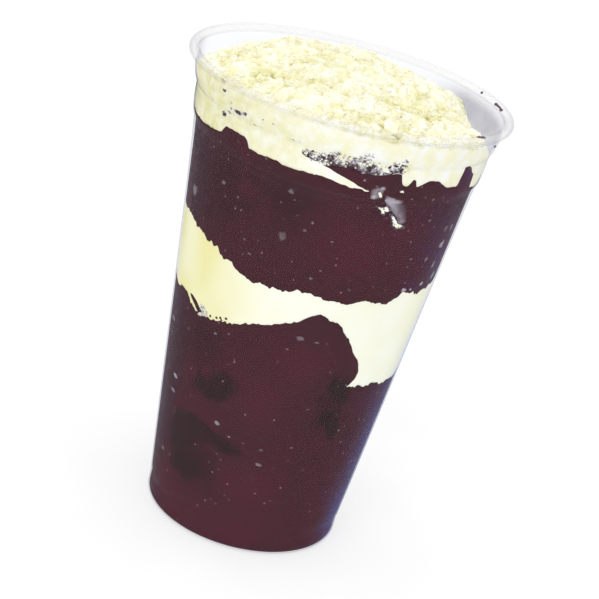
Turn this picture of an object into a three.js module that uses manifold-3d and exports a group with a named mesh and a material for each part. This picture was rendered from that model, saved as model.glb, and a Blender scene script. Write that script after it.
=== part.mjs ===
// Acai cup: a clear disposable cup filled with acai, a layer of sweet cream,
// more acai and a crumbly heap of milk powder. Millimetres, +Z up.
// The origin is the middle of the foot, on the table. -Y is the shown side,
// and an angle of 0 degrees looks out along -Y, growing towards +X.
import * as THREE from "three";
import { mergeVertices } from "three/addons/utils/BufferGeometryUtils.js";
import Module from "manifold-3d";

// ---- driving dimensions of the cup ----
const CUP_HEIGHT = 141;
const LIP_RADIUS = 47.5; // outer edge of the rolled lip
const LIP_HALF_WIDTH = 1.55;
const LIP_HALF_HEIGHT = 1.3;
const LIP_START = -125; // degrees round the roll where the flare runs into it
const WALL = 0.6;
const FOOT_RADIUS = 29.6;
const FOOT_TOP = 7; // the straight foot ends here
const FOOT_FILLET = 2.2;
const FOOT_RING_WIDTH = 2.4; // flat ring that the cup stands on
const BASE_RECESS = 2.5; // the base panel is pushed up by this much
const BASE_FLANK = 1.5; // run of the slope between ring and panel
const TAPER_BOTTOM = { r: 30.05, z: 8.2 };
const LEDGE_BOTTOM = { r: 41.25, z: 119.5 }; // stacking ledge
const LEDGE_TOP = { r: 42.6, z: 122.5 };
const BAND_TOP = { r: 43.15, z: 129.9 };
const GROOVE = { r: 42.95, z: 130.5 };
const FLARE = [
  { r: 43.8, z: 131.6 },
  { r: 44.4, z: 133.5 },
  { r: 44.8, z: 135.4 },
];
const CUP_SEGMENTS = 52;

// ---- driving dimensions of the filling ----
const GAP = 0.3; // clearance between pieces that touch
const FRONT_HALF_ANGLE = 72; // columns are closer together on the shown side
const FRONT_STEP = 4;
const BACK_STEP = 9;
const STEP_COLUMNS = [-46, -33, -31, 35, 37, 38, 39, 55, 57, 66]; // more at each steep place
const LAYER_RINGS = 3; // rings from the axis to the wall in a buried surface
const HEAP_CELLS = 40; // cells across the top of the heap

// Heights on the wall, as [degrees, mm], smoothly joined. The back repeats
// the same gentle waves as the shown side.
const LOWER_ACAI_TOP = [
  [-165, 73], [-120, 69], [-75, 71], [-55, 72.5], [-42, 70], [-22, 72.8],
  [0, 79], [13, 82.6], [25, 78.6], [32, 73.6], [35, 70.7], [36.6, 66],
  [37.6, 61.4], [39, 60.2], [50, 60.2], [80, 58.8], [120, 64], [155, 71],
];
const CREAM_TOP = [
  [-160, 91], [-115, 94.5], [-70, 96], [-50, 94], [-35, 90.5], [-20, 87.4],
  [0, 88.4], [20, 87.3], [35, 88.8], [50, 91.2], [75, 90.4], [120, 94], [160, 90],
];
const UPPER_ACAI_TOP = [
  [-150, 125.5], [-105, 123.8], [-50, 124], [-48, 124.4], [-45, 126.8],
  [-34, 126.6], [-31, 124.2], [-16, 123.4], [-2, 124.2], [4, 127.6], [18, 128],
  [24, 130], [28, 129.6], [31, 124.8], [36, 125.6], [42, 127.4], [50, 125.2],
  [55, 125.4], [58, 130.6], [62, 129.2], [66, 124], [75, 123.6], [120, 125.6],
];
const HEAP_AT_WALL = [
  [-160, 137.2], [-141, 134], [-121, 131], [-98, 131.4], [-80, 133.4],
  [-60, 136.4], [-30, 137.2], [30, 137.2], [50, 135.8], [66, 133.2], [80, 130.4],
  [108, 129], [118, 129.8], [126, 132.6], [134, 136], [160, 136.8],
];
// Heights of the buried surfaces at the cup's axis.
const LOWER_ACAI_MIDDLE = 71;
const CREAM_MIDDLE = 89.5;
const UPPER_ACAI_MIDDLE = 126;
const BURIED_FLATTENING = 1.6; // how soon a wave on the wall dies out inwards

// The lower acai ends in a round bulge that hangs over the cream.
const BULGE = { angle: 31.8, z: 65.6, across: 5.5, up: 5.9, inwards: 9 };

// The heap of milk powder.
const HEAP_PEAK = 145.4;
const HEAP_DROP = 7.6; // from the peak to the wall
const HEAP_ROUNDNESS = 1.7;
const HEAP_TILT = { x: -0.045, y: -0.015 };
const HEAP_REPOSE = 0.85; // slope of its loose edge
const HEAP_BLEND = 4; // softness of the brow between dome and loose edge
const CLUMPS = { count: 120, seed: 7, least: 2.2, most: 4.6, height: 0.42 };

const radians = (degrees) => (degrees * Math.PI) / 180;
const mix = (a, b, t) => a + (b - a) * t;
const clamp = (v, low, high) => Math.min(Math.max(v, low), high);

// A repeatable stream of numbers from 0 to 1.
function randomStream(seed) {
  let state = seed;
  return () => {
    state = (Math.imul(state, 1664525) + 1013904223) >>> 0;
    return state / 4294967296;
  };
}

// A height round the cup that passes through the given [degrees, mm] pairs,
// joined by cubics whose slopes are limited so that they never overshoot.
function wave(pairs) {
  const n = pairs.length;
  const at = (i) => {
    const turns = Math.floor(i / n);
    const [angle, height] = pairs[i - turns * n];
    return [angle + 360 * turns, height];
  };
  const rise = (i) => (at(i + 1)[1] - at(i)[1]) / (at(i + 1)[0] - at(i)[0]);
  const slope = (i) => {
    const before = rise(i - 1);
    const after = rise(i);
    return before * after <= 0 ? 0 : (2 * before * after) / (before + after);
  };
  return (degrees) => {
    const first = pairs[0][0];
    const angle = first + ((((degrees - first) % 360) + 360) % 360);
    let i = 0;
    while (at(i + 1)[0] <= angle) i += 1;
    const [a, low] = at(i);
    const [b, high] = at(i + 1);
    const span = b - a;
    const t = (angle - a) / span;
    const ease = t * t * (3 - 2 * t);
    const start = t * (1 - t) * (1 - t) * span * slope(i);
    const end = t * t * (1 - t) * span * slope(i + 1);
    return mix(low, high, ease) + start - end;
  };
}

const lowerAcaiTop = wave(LOWER_ACAI_TOP);
const creamTop = wave(CREAM_TOP);
const upperAcaiTop = wave(UPPER_ACAI_TOP);
const heapAtWall = wave(HEAP_AT_WALL);

// ---- the cup, and the shape of its inside ----

const ringOuter = FOOT_RADIUS - FOOT_FILLET;
const ringInner = ringOuter - FOOT_RING_WIDTH;
const panelRadius = ringInner - BASE_FLANK;

// The base from the axis to the flat ring, at a depth inside the outer skin.
function basePoints(depth) {
  return [
    { r: 0, z: BASE_RECESS + depth },
    { r: panelRadius + depth / 2, z: BASE_RECESS + depth },
    { r: ringInner + depth / 2, z: depth },
  ];
}

// The round corner from the flat ring up to the foot's side.
function cornerPoints(depth) {
  const radius = FOOT_FILLET - depth;
  return [0, 30, 60, 90].map((degrees) => {
    const turn = radians(degrees);
    return { r: ringOuter + radius * Math.sin(turn), z: FOOT_FILLET - radius * Math.cos(turn) };
  });
}

// The side from the foot to the top of the flare.
function sidePoints(depth) {
  const footTop = { r: FOOT_RADIUS, z: FOOT_TOP };
  const outer = [footTop, TAPER_BOTTOM, LEDGE_BOTTOM, LEDGE_TOP, BAND_TOP, ...FLARE];
  return outer.map(({ r, z }) => ({ r: r - depth, z }));
}

// The rolled lip: an ellipse from under the roll, round and over to the inside.
function lipPoints() {
  const middle = { r: LIP_RADIUS - LIP_HALF_WIDTH, z: CUP_HEIGHT - LIP_HALF_HEIGHT };
  const steps = 9;
  return Array.from({ length: steps + 1 }, (_, step) => {
    const turn = radians(mix(LIP_START, 180, step / steps));
    return {
      r: middle.r + LIP_HALF_WIDTH * Math.cos(turn),
      z: middle.z + LIP_HALF_HEIGHT * Math.sin(turn),
    };
  });
}

function cupGeometry() {
  const groove = sidePoints(0).findIndex(({ z }) => z > GROOVE.z);
  const side = sidePoints(0).toSpliced(groove, 0, GROOVE);
  const outside = [...basePoints(0), ...cornerPoints(0), ...side];
  const inside = [...basePoints(WALL), ...cornerPoints(WALL), ...sidePoints(WALL)];
  const profile = [...outside, ...lipPoints(), ...inside.reverse()];
  const points = profile.map(({ r, z }) => new THREE.Vector2(r, z));
  return new THREE.LatheGeometry(points, CUP_SEGMENTS).rotateX(Math.PI / 2);
}

const INSET = WALL + GAP; // depth of the filling inside the outer skin
const mouth = LIP_RADIUS - 2 * LIP_HALF_WIDTH - GAP;
const fillingLine = [
  ...cornerPoints(INSET),
  ...sidePoints(INSET),
  { r: mouth, z: CUP_HEIGHT },
  { r: mouth, z: 2 * CUP_HEIGHT }, // above the cup the heap keeps within its mouth
];

// Radius of the filling at a height.
function fillingRadius(z) {
  const found = fillingLine.findIndex((point) => point.z > z);
  const [low, high] = fillingLine.slice(found - 1, found + 1);
  return mix(low.r, high.r, (z - low.z) / (high.z - low.z));
}

// ---- surfaces of the filling ----

function columnAngles() {
  const angles = [];
  for (let a = -FRONT_HALF_ANGLE; a < FRONT_HALF_ANGLE; a += FRONT_STEP) angles.push(a);
  for (let a = FRONT_HALF_ANGLE; a < 360 - FRONT_HALF_ANGLE; a += BACK_STEP) angles.push(a);
  return [...angles, ...STEP_COLUMNS].sort((a, b) => a - b);
}

const COLUMNS = columnAngles();

// Half the gap, measured upright: more where the surface is steep, so that
// it stays the same across the surface.
function halfGap(height, degrees) {
  const step = 0.3;
  const most = 2.5;
  const run = radians(2 * step) * fillingRadius(height(degrees));
  const steepness = (height(degrees + step) - height(degrees - step)) / run;
  return (GAP / 2) * Math.min(Math.hypot(1, steepness), most);
}

// A point of the filling at an angle, a height and a share of the way out.
function fillingPoint(degrees, z, share) {
  const turn = radians(degrees);
  const r = share * fillingRadius(z);
  return new THREE.Vector3(r * Math.sin(turn), -r * Math.cos(turn), z);
}

// The rings of a buried surface from the axis to the wall, for one column.
function buriedSurface(height, middle, side) {
  return (degrees) => {
    const rings = [];
    for (let ring = 0; ring <= LAYER_RINGS; ring += 1) {
      const share = ring / LAYER_RINGS;
      const swing = share ** BURIED_FLATTENING;
      const gap = mix(GAP / 2, halfGap(height, degrees), swing);
      const z = mix(middle, height(degrees), swing) + side * gap;
      rings.push({ share, z });
    }
    return rings;
  };
}

// The underside of the lowest layer follows the base of the cup.
function baseSurface() {
  const [middle, panelEdge, ring] = basePoints(INSET);
  const halfway = { r: panelEdge.r / 2, z: middle.z };
  const line = [middle, halfway, panelEdge, ring, ...cornerPoints(INSET)];
  return line.map(({ r, z }) => ({ share: r / fillingRadius(z), z }));
}

// The top of the heap, before its clumps: a dome with a loose edge that
// slopes down to where the powder lies against the wall.
function heapHeight(x, y) {
  const degrees = (Math.atan2(x, -y) * 180) / Math.PI;
  const atWall = heapAtWall(degrees);
  const wall = fillingRadius(atWall);
  const r = Math.hypot(x, y);
  const tilt = HEAP_TILT.x * x + HEAP_TILT.y * y;
  const dome = HEAP_PEAK + tilt - HEAP_DROP * (r / wall) ** HEAP_ROUNDNESS;
  const edge = atWall + HEAP_REPOSE * (wall - r);
  const nearness = Math.max(1 - Math.abs(dome - edge) / HEAP_BLEND, 0);
  return Math.min(dome, edge) - (HEAP_BLEND / 4) * nearness ** 2;
}

// Rounded clumps of powder, scattered evenly over the heap.
function scatterClumps() {
  const random = randomStream(CLUMPS.seed);
  return Array.from({ length: CLUMPS.count }, () => {
    const r = LEDGE_TOP.r * Math.sqrt(random());
    const turn = 2 * Math.PI * random();
    const size = mix(CLUMPS.least, CLUMPS.most, random() ** 2);
    return { x: r * Math.cos(turn), y: r * Math.sin(turn), size };
  });
}

const clumps = scatterClumps();

// How far the nearest clump stands out of the heap at a place.
function clumpRelief(x, y) {
  const rises = clumps.map(({ x: cx, y: cy, size }) => {
    const off = ((x - cx) ** 2 + (y - cy) ** 2) / size ** 2;
    return off < 1 ? CLUMPS.height * size * Math.sqrt(1 - off) : 0;
  });
  return Math.max(...rises);
}

// A block whose top is the heap: a square grid of cells drawn out to a disc
// that reaches past the wall, with a flat bottom.
function heapBlock() {
  const geometry = new THREE.BoxGeometry(2, 2, 1, HEAP_CELLS, HEAP_CELLS, 1);
  const place = geometry.attributes.position;
  const reach = LIP_RADIUS;
  for (let i = 0; i < place.count; i += 1) {
    const [u, v] = [place.getX(i), place.getY(i)];
    const x = reach * u * Math.sqrt(1 - (v * v) / 2);
    const y = reach * v * Math.sqrt(1 - (u * u) / 2);
    const top = heapHeight(x, y) + clumpRelief(x, y);
    place.setXYZ(i, x, y, place.getZ(i) > 0 ? top : LEDGE_BOTTOM.z);
  }
  return toSolid(geometry);
}

// The rows of a wall between two heights, evenly spaced.
function evenRows(low, high, count) {
  return Array.from({ length: count }, (_, i) => mix(low, high, (i + 1) / (count + 1)));
}

// The rows of a wall at given levels, kept between the two ends.
function levelRows(low, high, levels) {
  const least = 0.25;
  return levels.map((level, i) => {
    return clamp(level, low + least * (i + 1), high - least * (levels.length - i));
  });
}

// A closed skin: each column runs from the axis out, up the wall and back in.
// The top's cells are split along the other diagonal, so that they match the
// underside of the next layer.
function layerGeometry(underside, wallRows, topside) {
  const positions = [];
  const indices = [];
  const strips = COLUMNS.map((degrees) => {
    const under = underside(degrees);
    const top = topside(degrees);
    const rows = wallRows(under.at(-1).z, top[0].z);
    const strip = [...under, ...rows.map((z) => ({ share: 1, z })), ...top];
    return strip.map(({ share, z }) => fillingPoint(degrees, z, share));
  });
  strips.flat().forEach(({ x, y, z }) => positions.push(x, y, z));
  const length = strips[0].length;
  const topStart = length - topside(0).length;
  for (let column = 0; column < strips.length; column += 1) {
    const here = column * length;
    const next = ((column + 1) % strips.length) * length;
    for (let row = 0; row + 1 < length; row += 1) {
      const [a, b, c, d] = [here + row, next + row, next + row + 1, here + row + 1];
      if (row < topStart) indices.push(a, c, d);
      if (row > 0 && row < topStart) indices.push(a, b, c);
      if (row >= topStart) indices.push(a, b, d);
      if (row >= topStart && row + 2 < length) indices.push(b, c, d);
    }
  }
  const geometry = new THREE.BufferGeometry();
  geometry.setAttribute("position", new THREE.Float32BufferAttribute(positions, 3));
  geometry.setIndex(indices);
  return mergeVertices(geometry, 1e-4);
}

// ---- joining and cutting ----

const wasm = await Module();
wasm.setup();

function toSolid(geometry) {
  const bare = geometry.clone().deleteAttribute("normal").deleteAttribute("uv");
  const merged = mergeVertices(bare, 1e-4);
  const vertProperties = merged.attributes.position.array;
  const triVerts = new Uint32Array(merged.index.array);
  return new wasm.Manifold(new wasm.Mesh({ numProp: 3, vertProperties, triVerts }));
}

function toGeometry(solid) {
  const mesh = solid.getMesh();
  const geometry = new THREE.BufferGeometry();
  geometry.setAttribute("position", new THREE.BufferAttribute(mesh.vertProperties, 3));
  return geometry.setIndex(new THREE.BufferAttribute(mesh.triVerts, 1));
}

// Everything inside the clearance to the wall, above the foot.
function insideOfCup() {
  const side = fillingLine.filter(({ z }) => z >= FOOT_TOP);
  const points = side.map(({ r, z }) => new THREE.Vector2(r, z));
  points.unshift(new THREE.Vector2(0, FOOT_TOP));
  points.push(new THREE.Vector2(0, 2 * CUP_HEIGHT));
  return toSolid(new THREE.LatheGeometry(points, CUP_SEGMENTS).rotateX(Math.PI / 2));
}

// The bulge, an ellipsoid with its widest part on the wall.
function bulge(margin) {
  const { angle, z, across, up, inwards } = BULGE;
  const { x, y } = fillingPoint(angle, z, 1);
  const round = new THREE.SphereGeometry(1, 24, 16);
  round.scale(across + margin, inwards + margin, up + margin);
  return toSolid(round.rotateZ(radians(angle)).translate(x, y, z));
}

const fromWall = (surface) => (degrees) => surface(degrees).reverse();

function lowerAcaiGeometry() {
  const top = fromWall(buriedSurface(lowerAcaiTop, LOWER_ACAI_MIDDLE, -1));
  const rows = (low, high) => [FOOT_TOP, TAPER_BOTTOM.z, ...evenRows(TAPER_BOTTOM.z, high, 2)];
  const layer = toSolid(layerGeometry(baseSurface, rows, top));
  return toGeometry(layer.add(bulge(0).intersect(insideOfCup())));
}

function creamGeometry() {
  const under = buriedSurface(lowerAcaiTop, LOWER_ACAI_MIDDLE, 1);
  const top = fromWall(buriedSurface(creamTop, CREAM_MIDDLE, -1));
  const layer = toSolid(layerGeometry(under, (low, high) => evenRows(low, high, 3), top));
  return toGeometry(layer.subtract(bulge(GAP)));
}

function upperAcaiGeometry() {
  const under = buriedSurface(creamTop, CREAM_MIDDLE, 1);
  const top = fromWall(buriedSurface(upperAcaiTop, UPPER_ACAI_MIDDLE, -1));
  const rows = (low) => {
    return [...evenRows(low, LEDGE_BOTTOM.z, 1), LEDGE_BOTTOM.z, LEDGE_TOP.z];
  };
  return layerGeometry(under, rows, top);
}

// The powder is the room above the upper acai, up to the top of the heap.
function powderGeometry() {
  const under = buriedSurface(upperAcaiTop, UPPER_ACAI_MIDDLE, 1);
  const ceiling = 2 * HEAP_PEAK - CUP_HEIGHT;
  const lid = () => [{ share: 1, z: ceiling }, { share: 0, z: ceiling }];
  const levels = [BAND_TOP.z, ...FLARE.map(({ z }) => z), CUP_HEIGHT];
  const room = layerGeometry(under, (low, high) => levelRows(low, high, levels), lid);
  return toGeometry(toSolid(room).intersect(heapBlock()));
}

// ---- materials and assembly ----

function matte(color, roughness) {
  return new THREE.MeshStandardMaterial({ color, roughness, metalness: 0 });
}

function clearPlastic() {
  const material = new THREE.MeshStandardMaterial({ color: 0xeef0f4, roughness: 0.12 });
  material.transparent = true;
  material.opacity = 0.3;
  return material;
}

function piece(name, geometry, material) {
  const mesh = new THREE.Mesh(geometry, material);
  mesh.name = name;
  return mesh;
}

const acaiCup = new THREE.Group();
acaiCup.add(
  piece("cup", cupGeometry(), clearPlastic()),
  piece("acai_lower", lowerAcaiGeometry(), matte(0x4b2a33, 0.35)),
  piece("cream_layer", creamGeometry(), matte(0xf6f3cf, 0.5)),
  piece("acai_upper", upperAcaiGeometry(), matte(0x482a31, 0.35)),
  piece("milk_powder", powderGeometry(), matte(0xf7f4c8, 0.95)),
);

export default acaiCup;
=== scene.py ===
# %% [markdown]
# # Acai cup
# A clear disposable cup, filled from the bottom up with acai, a layer of sweet cream, more acai
# and a crumbly heap of milk powder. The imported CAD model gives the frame: metres, +Z up, the
# middle of the foot at the origin, and -Y as the shown side. Its solids are plain, so each one is
# replaced here by a finer piece of the same form. All lengths below are written in millimetres
# and made metres once, when a mesh is filled.

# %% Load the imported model
import itertools

import bmesh
import bpy
import numpy as np
from mathutils import Matrix, Vector


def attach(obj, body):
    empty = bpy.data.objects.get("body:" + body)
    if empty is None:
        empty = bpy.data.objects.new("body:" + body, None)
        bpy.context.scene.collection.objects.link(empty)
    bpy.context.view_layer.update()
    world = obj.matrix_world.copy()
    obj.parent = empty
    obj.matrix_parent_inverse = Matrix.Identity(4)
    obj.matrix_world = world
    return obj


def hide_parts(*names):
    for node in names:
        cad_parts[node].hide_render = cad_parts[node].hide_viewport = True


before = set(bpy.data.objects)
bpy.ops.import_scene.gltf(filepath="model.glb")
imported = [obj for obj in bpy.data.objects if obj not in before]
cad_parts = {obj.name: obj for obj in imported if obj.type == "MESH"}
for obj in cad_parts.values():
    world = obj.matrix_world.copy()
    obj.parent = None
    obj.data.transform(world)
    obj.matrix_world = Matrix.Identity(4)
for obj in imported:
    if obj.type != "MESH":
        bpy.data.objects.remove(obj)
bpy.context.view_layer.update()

MM = 0.001
print("nodes:", sorted(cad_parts))

# %% [markdown]
# ## Camera
# The photograph looks down on the cup with a long lens, and it was turned by about 15 degrees,
# so that the cup seems to lean. The cup itself stands upright, so the camera is rolled instead.
# Its place comes from the ellipses of the rim and the foot and from the lines of the sides.

# %% Camera
CAMERA_PLACE = (0, -518.41, 276.40)
CAMERA_AIM = (0, 0, 63.01)
CAMERA_ROLL = 14.98  # degrees
AIM_RIGHT, AIM_UP = 0.0025, 0.0138  # the cup isn't quite in the middle of the picture
FOCAL_PIXELS, PICTURE_PIXELS, SENSOR = 1875.58, 599, 36.0


def camera_axes():
    """Right, up and backwards of the camera: looks from its place at its aim, then rolls."""
    forward = (Vector(CAMERA_AIM) - Vector(CAMERA_PLACE)).normalized()
    right = forward.cross(Vector((0, 0, 1))).normalized()
    forward = (forward + AIM_RIGHT * right + AIM_UP * right.cross(forward)).normalized()
    right = forward.cross(Vector((0, 0, 1))).normalized()
    up = right.cross(forward)
    turn = np.radians(CAMERA_ROLL)
    return (np.cos(turn) * right + np.sin(turn) * up,
            np.cos(turn) * up - np.sin(turn) * right, -forward)


camera_data = bpy.data.cameras.new("camera")
camera_data.sensor_width = SENSOR
camera_data.lens = FOCAL_PIXELS / PICTURE_PIXELS * SENSOR
camera_data.clip_start, camera_data.clip_end = 0.01, 100
camera = bpy.data.objects.new("camera", camera_data)
bpy.context.collection.objects.link(camera)
camera.matrix_world = (Matrix.Translation(Vector(CAMERA_PLACE) * MM)
                       @ Matrix(camera_axes()).transposed().to_4x4())
bpy.context.scene.camera = camera
print("lens, mm:", round(camera_data.lens, 2))

# %% [markdown]
# ## Shapes from numbers
# Every new piece is a surface worked out with numpy: whole arrays of points, never a loop over
# single vertices. The helpers here fill a mesh, join rows of points into a closed skin, and make
# the repeatable noise that keeps food from looking turned on a lathe.

# %% Put arrays of points and faces into a mesh
def make_piece(name, points, *faces, smooth=True):
    """A new object from points in mm and arrays of faces, each array with one number of sides."""
    mesh = bpy.data.meshes.new(name)
    corners = np.concatenate([f.ravel() for f in faces]).astype(np.int32)
    sides = np.concatenate([np.full(len(f), f.shape[1]) for f in faces])
    starts = np.concatenate([[0], np.cumsum(sides)[:-1]]).astype(np.int32)
    mesh.vertices.add(len(points))
    mesh.vertices.foreach_set("co", (np.asarray(points, np.float64) * MM).astype(np.float32).ravel())
    mesh.loops.add(len(corners))
    mesh.loops.foreach_set("vertex_index", corners)
    mesh.polygons.add(len(sides))
    mesh.polygons.foreach_set("loop_start", starts)
    mesh.update(calc_edges=True)
    mesh.validate()
    mesh.polygons.foreach_set("use_smooth", np.full(len(mesh.polygons), smooth))
    piece = bpy.data.objects.new(name, mesh)
    bpy.context.collection.objects.link(piece)
    print(name, "triangles:", int((sides - 2).sum()))
    return piece


def store(piece, **numbers):
    """Stores numbers on the points of a piece, for its material to read: one for all or one each."""
    for name, values in numbers.items():
        layer = piece.data.attributes.new(name, "FLOAT", "POINT")
        each = np.full(len(piece.data.vertices), np.ravel(values), np.float32)
        layer.data.foreach_set("value", each)


def stored_points(piece):
    """The points of a piece in mm."""
    flat = np.empty(len(piece.data.vertices) * 3)
    piece.data.vertices.foreach_get("co", flat)
    return flat.reshape(-1, 3) / MM


def finish_piece(piece, material, slot, *nodes):
    """Gives a piece its material, ties it to the body and hides the solids it stands for. The
    slot is not used.
    """
    piece.data.materials.append(material)
    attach(piece, "root")
    if nodes:
        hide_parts(*nodes)


# %% Join rows of points into closed skins
def ring_quads(rows, columns, first=0):
    """Quads between neighbouring rows of a closed ring: row i, column j to row i+1, column j+1."""
    i, j = np.meshgrid(np.arange(rows - 1), np.arange(columns), indexing="ij")
    k = (j + 1) % columns
    corners = (i * columns + j, i * columns + k, (i + 1) * columns + k, (i + 1) * columns + j)
    return first + np.stack(corners, -1).reshape(-1, 4)


def closed_skin(start, rings, end):
    """One skin from a pole, through rings of points, to the other pole."""
    rows, columns = rings.shape[:2]
    points = np.concatenate([[start], rings.reshape(-1, 3), [end]])
    j = np.arange(columns)
    k = (j + 1) % columns
    last = 1 + (rows - 1) * columns
    low = np.stack([np.zeros_like(j), 1 + k, 1 + j], -1)
    high = np.stack([np.full_like(j, len(points) - 1), last + j, last + k], -1)
    return points, ring_quads(rows, columns, 1), np.concatenate([low, high])


def on_the_round(degrees, radius, z):
    """Points at an angle from the shown side, a radius and a height."""
    turn = np.radians(degrees)
    return np.stack(np.broadcast_arrays(radius * np.sin(turn), -radius * np.cos(turn), z), -1)


def angle_of(points):
    """Degrees from the shown side, growing towards +X."""
    return np.degrees(np.arctan2(points[..., 0], -points[..., 1]))


def along(line, at):
    """The value of a line of (place, value) at other places, straight between its own."""
    return np.interp(at, *np.array(line, float).T)


def eased(value, low, high):
    """Share of the way from low to high, kept from 0 to 1 and with soft ends: s^2 (3 - 2 s)."""
    share = np.clip((value - low) / (high - low), 0, 1)
    return share * share * (3 - 2 * share)


# %% Repeatable noise
NOISE_RADIUS = 40.0  # mm, where noise that runs round the cup is read


def scrambled(cells, seed):
    """A number from 0 to 1 for each whole-number cell: its counts times large odd numbers, summed,
    with the bits folded over each other."""
    factors = np.array([73856093, 19349663, 83492791], np.uint64)[: cells.shape[-1]]
    mixed = (cells.astype(np.int64).astype(np.uint64) * factors).sum(-1)
    mixed = mixed + np.uint64(seed * 2654435761)
    for fold, factor in ((15, 2246822519), (13, 3266489917), (16, 668265263)):
        mixed = (mixed ^ (mixed >> np.uint64(fold))) * np.uint64(factor)
    return ((mixed >> np.uint64(20)) & np.uint64(0xFFFFF)) / 0xFFFFF


def cloudy(places, size, seed):
    """Smooth noise from -1 to 1: random values at the corners of cells, blended by S-curves."""
    places = np.asarray(places, float) / size
    corner = np.floor(places)
    share = (places - corner) ** 2 * (3 - 2 * (places - corner))
    total = np.zeros(places.shape[:-1])
    for step in itertools.product((0, 1), repeat=places.shape[-1]):
        weight = np.prod(np.where(np.array(step, bool), share, 1 - share), -1)
        total += weight * scrambled(corner + step, seed)
    return 2 * total - 1


def clumpy(places, size, seed):
    """A bed of soft round clumps: one in each cell, off its middle and of random radius, as high as
    radius * (1 - (off / radius)^2)^0.75, and the highest one counts. Heights are in size's unit."""
    places = np.asarray(places, float) / size
    cell = np.floor(places)
    highest = np.zeros(places.shape[:-1])
    for step in itertools.product((-1, 0, 1), repeat=2):
        near = cell + step
        off = np.stack([scrambled(near, seed), scrambled(near, seed + 1)], -1)
        radius = 0.42 + 0.42 * scrambled(near, seed + 2)
        gap = ((places - near - 0.1 - 0.8 * off) ** 2).sum(-1) / radius ** 2
        highest = np.maximum(highest, radius * np.clip(1 - gap, 0, None) ** 0.75)
    return size * highest


print("noise at three places:", cloudy([[0.3, 0.7], [1.4, 2.2], [5.1, 3.3]], 1, 4).round(3))

# %% [markdown]
# ## Colours and materials
# Photographed colours are written as they look in the picture, 0 to 255, and turned into the
# linear values that shaders want. Each material mixes several such colours by noise on the
# object's own coordinates or by a number stored on the points, because food is never one colour.

# %% Finishes, built node by node
def paint(red, green, blue):
    """A colour as seen in the picture, as linear RGBA: below 0.04045 v/12.92, else a 2.4 power."""
    seen = np.array([red, green, blue]) / 255
    linear = np.where(seen <= 0.04045, seen / 12.92, ((seen + 0.055) / 1.055) ** 2.4)
    return (*linear, 1.0)


class Finish:
    """A material that is being built. Sockets take a value, or a node or socket to join."""

    def __init__(self, name):
        self.material = bpy.data.materials.new(name)
        self.material.use_nodes = True
        self.tree = self.material.node_tree
        self.tree.nodes.clear()
        self.place = self.put("ShaderNodeTexCoord").outputs["Object"]

    def put(self, kind, options=None, sockets=None, **named):
        """Adds a node, sets its options, and fills its sockets by number or by name."""
        made = self.tree.nodes.new(kind)
        for key, value in (options or {}).items():
            setattr(made, key, value)
        named = {name.replace("_", " "): value for name, value in named.items()}
        for key, value in {**(sockets or {}), **named}.items():
            value = value.outputs[0] if isinstance(value, bpy.types.Node) else value
            if isinstance(value, bpy.types.NodeSocket):
                self.tree.links.new(value, made.inputs[key])
            else:
                made.inputs[key].default_value = value
        return made

    def number(self, name):
        """A number that is stored on the points."""
        return self.put("ShaderNodeAttribute", {"attribute_name": name}).outputs["Fac"]

    def grain(self, size, detail=4.0, roughness=0.55, distortion=0.0, place=None):
        """Noise whose patches are about this many millimetres across."""
        return self.put("ShaderNodeTexNoise", Vector=place or self.place, Scale=1 / (size * MM),
                        Detail=detail, Roughness=roughness, Distortion=distortion).outputs["Fac"]

    def math(self, kind, first, second):
        """Two numbers worked into one: MULTIPLY, ADD or POWER."""
        return self.put("ShaderNodeMath", {"operation": kind}, {0: first, 1: second}).outputs[0]

    def times(self, first, second):
        """Two numbers multiplied."""
        return self.math("MULTIPLY", first, second)

    def plus(self, first, second):
        """Two numbers added."""
        return self.math("ADD", first, second)

    def between(self, value, low, high, to_low=0.0, to_high=1.0):
        """A value stretched so that low becomes to_low and high becomes to_high, with soft ends."""
        return self.put("ShaderNodeMapRange", {"interpolation_type": "SMOOTHSTEP"},
                        {0: value, 1: low, 2: high, 3: to_low, 4: to_high}).outputs[0]

    def mixed(self, share, first, second):
        """The first colour, turned into the second one by share."""
        made = self.put("ShaderNodeMix", {"data_type": "RGBA"}, {0: share, 6: first, 7: second})
        return made.outputs[2]

    def bump(self, height, strength, depth):
        """Normals of a relief this many millimetres deep."""
        return self.put("ShaderNodeBump", Height=height, Strength=strength, Distance=depth * MM)

    def layered(self, share, first, second):
        """The first shader, turned into the second one by share."""
        return self.put("ShaderNodeMixShader", None, {0: share, 1: first, 2: second})

    def done(self, shader):
        """Joins the last shader to the output and hands over the material."""
        self.put("ShaderNodeOutputMaterial", Surface=shader)
        return self.material


# %% [markdown]
# ## The clear cup
# The real cup is a sheet of clear plastic, drawn hot into a mould: a pushed-up base, a foot, a
# straight taper, a stacking ledge, a band and a flare that ends in a rolled lip. It could be
# modelled as a solid, but the look of such a cup comes from its two skins and from the hollow
# roll at the lip. So its profile runs up the outside, round the inside of the roll, back over its
# outside and down the inside, and is turned about the axis.

# %% Driving sizes of the cup
CUP_HEIGHT, LIP_RADIUS = 141.0, 47.46
LIP_HALF_WIDTH, LIP_HALF_HEIGHT, LIP_SHEET, LIP_END = 1.55, 1.3, 0.4, -125
WALL = 0.6
FOOT_RADIUS, FOOT_FILLET, FOOT_RING = 29.6, 2.2, 2.4
BASE_RECESS, BASE_FLANK = 2.5, 1.5
SIDE = np.array([(29.6, 7.0), (30.05, 8.2), (41.25, 119.5), (42.6, 122.5), (43.15, 129.9),
                 (42.95, 130.5), (43.8, 131.6), (44.4, 133.5), (44.8, 135.4)])
ring_outer = FOOT_RADIUS - FOOT_FILLET
ring_inner = ring_outer - FOOT_RING
panel_radius = ring_inner - BASE_FLANK


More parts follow.
